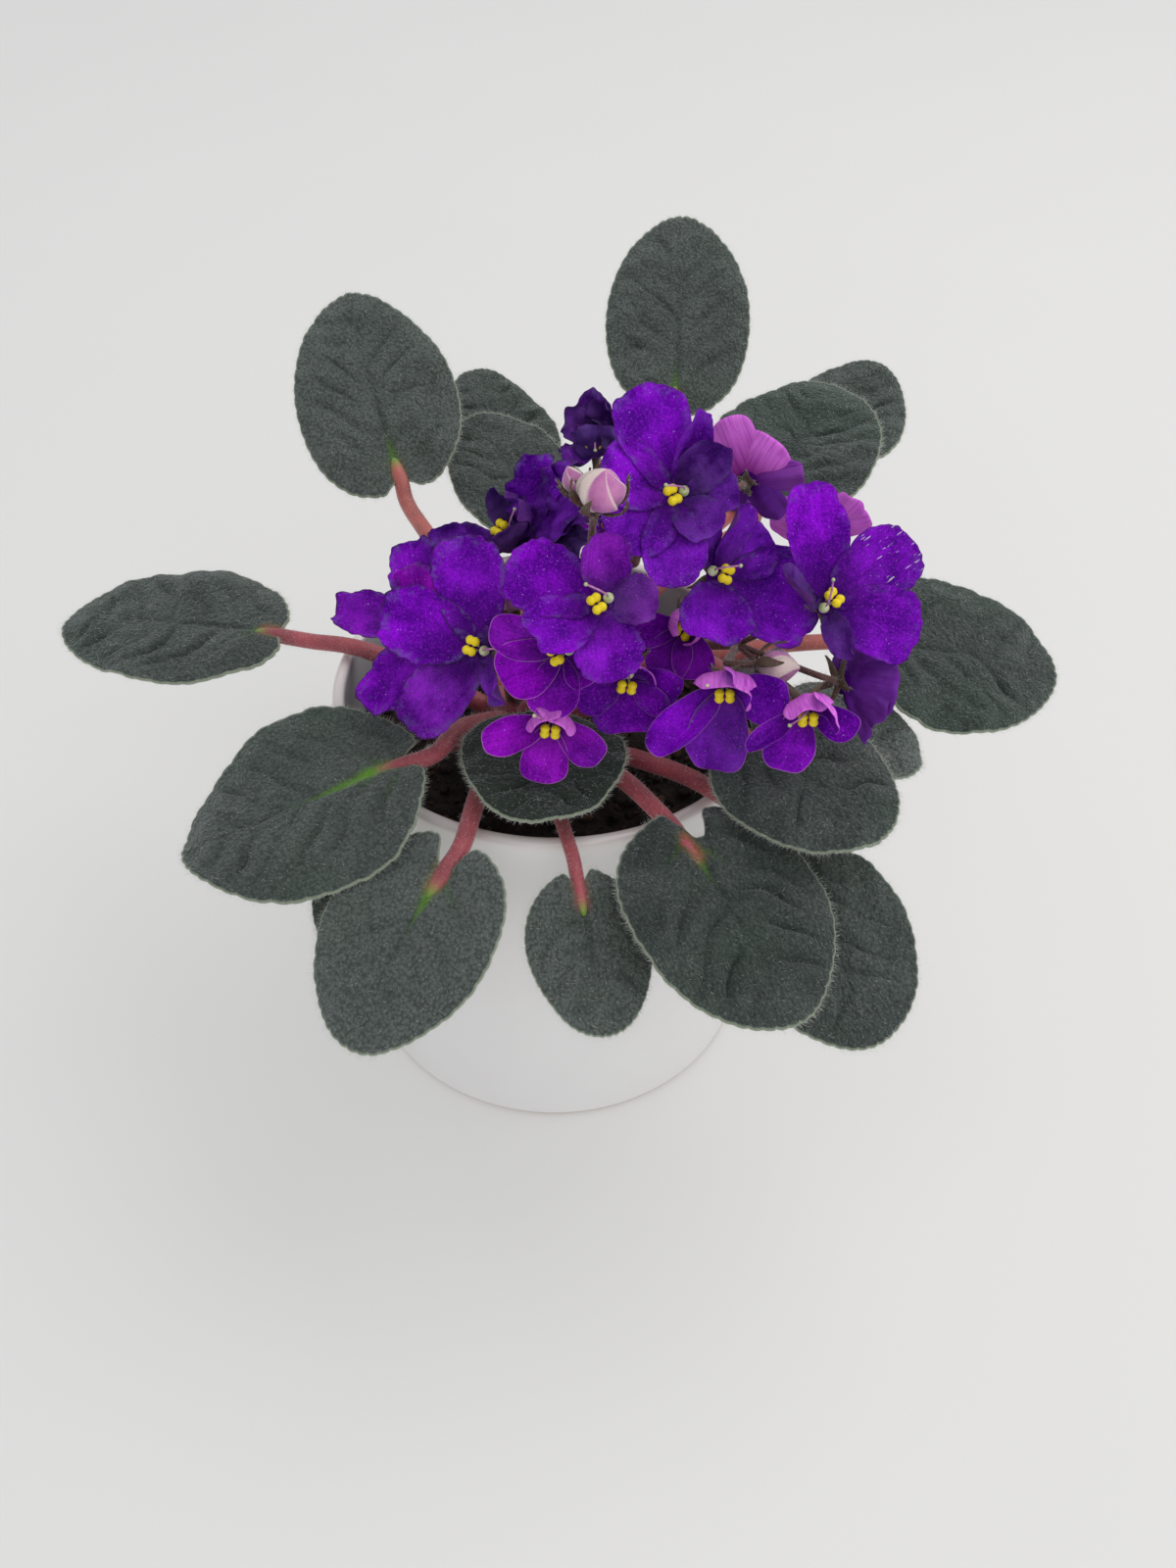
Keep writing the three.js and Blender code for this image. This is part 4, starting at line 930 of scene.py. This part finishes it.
# at: where a flower stalk forks. via: a place on its way up. blooms and buds: those that it bears.
forks = {
    "left": {"at": (-22, -8, 146), "via": (-14, -3, 128), "blooms": ("left", "far_left", "back_left"),
        "buds": ("left",)},
    "back": {"at": (20, 15, 150), "via": (-3, 6, 130), "blooms": ("withered", "top", "back_right", "inner"),
        "buds": ()},
    "front": {"at": (8, -24, 146), "via": (-6, -6, 128),
        "blooms": ("centre", "front_left", "inner_right", "front_low", "front_under"),
        "buds": ("top", "top_small")},
    "right": {"at": (46, -14, 146), "via": (8, -1, 132),
        "blooms": ("right", "far_right", "low_right", "low_far_right", "back_far_right", "right_turned"),
        "buds": ("right",)},
}

# bristle: how long the hairs of a main stalk and of a branch are
branch = {"base": 1.7, "fork": 1.3, "radius": 0.8, "straight": 7, "steps": 34, "seed": 77,
          "hairs": 150, "forkHairs": 260, "hair": 0.03, "bristle": (1.4, 1.3),
          "sepal": 7, "budSepal": 1.2, "sepalWidth": 1.0, "sepalThickness": 0.28, "lean": 0.3}


# Five narrow sepals: a star behind a bloom, or, on a bud, strips that follow its egg at a small distance up
# to over half its length and flare at their tips.
def sepalShells(thing, reach, behind, clasp):
    shells = []
    share = np.linspace(0, 1, 14)
    for k in range(5):
        out = 0.6 + (reach - 0.6) * share
        height = -behind - 0.5 - branch["lean"] * out
        if clasp:
            along = 0.02 + 0.68 * share
            height = -0.6 + along * thing["length"]
            out = 0.5 + thing["radius"] * np.sin(np.pi * along**0.8) ** 0.8 + 0.2 + 1.8 * share**4
        angle = np.radians(-90 + 72 * k) + 0.12 * np.sin(k * 4 + share * 3)
        path = np.stack([out * np.cos(angle), out * np.sin(angle), height], -1)
        wide = branch["sepalWidth"] * (0.35 + np.sin(np.pi * share**0.7) ** 0.8) * (1 - 0.55 * share)
        wide = wide * (1 + 0.3 * clasp)
        outward = (np.cos(angle[0]), np.sin(angle[0]), 0.001) if clasp else (0, 0, 1)
        shells.append(tube(path, wide, branch["sepalThickness"], 10, above=outward))
    return shells


# Each stalk rises from the stem to its fork, and from there a branch runs to each bloom and bud and meets it
# straight from behind.
def makeFlowerStalks():
    stems, sepals, hairs = [], [], []
    draw = np.random.default_rng(branch["seed"])

    # hairs that stand out from a tube, all along it
    def bristles(path, radius, count, length):
        step = draw.integers(1, len(path) - 1, count)
        ahead = unit(np.gradient(path, axis=0))[step]
        out = unit(np.cross(ahead, draw.normal(0, 1, ahead.shape)))
        places = path[step] + draw.uniform(-0.5, 0.5, (count, 1)) * (path[step] - path[step - 1])
        ways = out + draw.normal(0, 0.2, out.shape)
        lengths = length * draw.uniform(0.5, 1.2, count)
        hairs.append(hairShell(places + out * radius, ways, lengths, branch["hair"]))

    share = np.linspace(0, 1, branch["steps"])
    radius = branch["radius"] * (1 + ease(share, 0.86, 1.0))
    greenness = np.linspace(0, 0.6, branch["steps"])
    for fork in forks.values():
        path = smoothPath([(*stem["at"], stem["top"] - 5), fork["via"], fork["at"]], 30)
        girth = np.linspace(branch["base"], branch["fork"], 30)
        stems.append(tube(path, girth, girth, 14, above=(0.2, 1, 0.1), green=0.15))
        stems.append(egg(2.0, 2.2, fork["at"], steps=10, sides=14))
        bristles(path, branch["fork"], branch["forkHairs"], branch["bristle"][0])
        things = [(blooms[n], blooms[n].get("sepal", branch["sepal"]), petal["thickness"] + 1.0, 0)
                  for n in fork["blooms"]]
        things += [(buds[n], buds[n]["radius"] * branch["budSepal"], 0.4, 1) for n in fork["buds"]]
        for thing, reach, behind, clasp in things:
            matrix, at = facing(thing["way"]), np.array(thing["at"], float)
            back = lambda distance: at - matrix[:, 2] * distance
            near, origin = back(behind + branch["straight"]), np.array(fork["at"], float)
            route = [origin, (origin + near) / 2, near, back(behind + 1.6), back(behind)]
            path = smoothPath(route, branch["steps"])
            stems.append(tube(path, radius, radius, 12, above=(0.35, 0.9, 0.2), green=greenness))
            sepals += placed(sepalShells(thing, reach, behind, clasp), thing)
            bristles(path, branch["radius"], branch["hairs"], branch["bristle"][1])
    for s in sepals:
        points = s["points"][draw.integers(0, len(s["points"]), 26)]
        ways = points - s["points"].mean(0) + draw.normal(0, 1.2, points.shape)
        hairs.append(hairShell(points, ways, draw.uniform(0.5, 1.2, len(points)), branch["hair"]))
    makePiece("flowerStalks", stems, [darkSkin])
    makePiece("sepals", sepals, [sepalSkin])
    makePiece("flowerHairs", hairs, [hairSkin])


makeFlowerStalks()
print("flower stalks and sepals made")


studio = {"floor": 3.0, "glow": 0.3, "sky": 0.56}

# each lamp's place, what it aims at, its size, power and colour
lamps = {"key": ((0.7, 0.35, 1.35), (0, 0, 0.1), 1.5, 10.0, (1, 0.985, 0.96)),
         "fill": ((0.15, -1.2, 0.9), (0, 0, 0.08), 1.4, 4.0, (0.98, 0.985, 1))}


# an object for a lamp or a camera, turned by a matrix and set at a place
def put(name, data, matrix, place):
    thing = bpy.data.objects.new(name, data)
    bpy.context.scene.collection.objects.link(thing)
    thing.matrix_world = Matrix.Translation(place) @ Matrix(matrix.tolist()).to_4x4()
    return thing


def makeStudio():
    bpy.ops.mesh.primitive_plane_add(size=studio["floor"])
    floor = bpy.context.object
    floor.name = "floor"
    skin = Finish("paleFloor")
    base = skin.mix(skin.noise(6, 2), (0.5, 0.495, 0.49), (0.52, 0.515, 0.51))
    made = skin.done({"Base Color": base, "Roughness": 0.7, "Emission Strength": studio["glow"],
                      "Emission Color": (1, 0.992, 0.985)})
    floor.data.materials.append(made)
    for name, (place, aim, size, power, colour) in lamps.items():
        lamp = bpy.data.lights.new(name, "AREA")
        lamp.size, lamp.energy, lamp.color = size, power, colour
        back = unit(np.array(place, float) - np.array(aim))
        side = unit(np.cross((0, 0, 1), back))
        put(name, lamp, stacked(side, np.cross(back, side), back), place)
    world = bpy.data.worlds.new("studio")
    world.use_nodes = True
    sky = world.node_tree.nodes["Background"]
    sky.inputs[0].default_value = (0.97, 0.98, 1, 1)
    sky.inputs[1].default_value = studio["sky"]
    bpy.context.scene.world = world
    bpy.context.scene.view_settings.view_transform = "Standard"


# Where the camera stands in millimetres, how far it looks down, and its small turns.
camera = {"at": (10.1, -301.1, 381.0), "down": 44.86, "yaw": 0.12, "roll": 1.23, "lens": 33.75, "sensor": 36}


def makeCamera():
    lens = bpy.data.cameras.new("camera")
    lens.lens, lens.sensor_width, lens.clip_start = camera["lens"], camera["sensor"], 0.01
    matrix = turning("Z", camera["yaw"]) @ turning("X", 90 - camera["down"]) @ turning("Z", camera["roll"])
    bpy.context.scene.camera = put("camera", lens, matrix, np.array(camera["at"]) * metre)


makeStudio()
makeCamera()
print("studio and camera made")
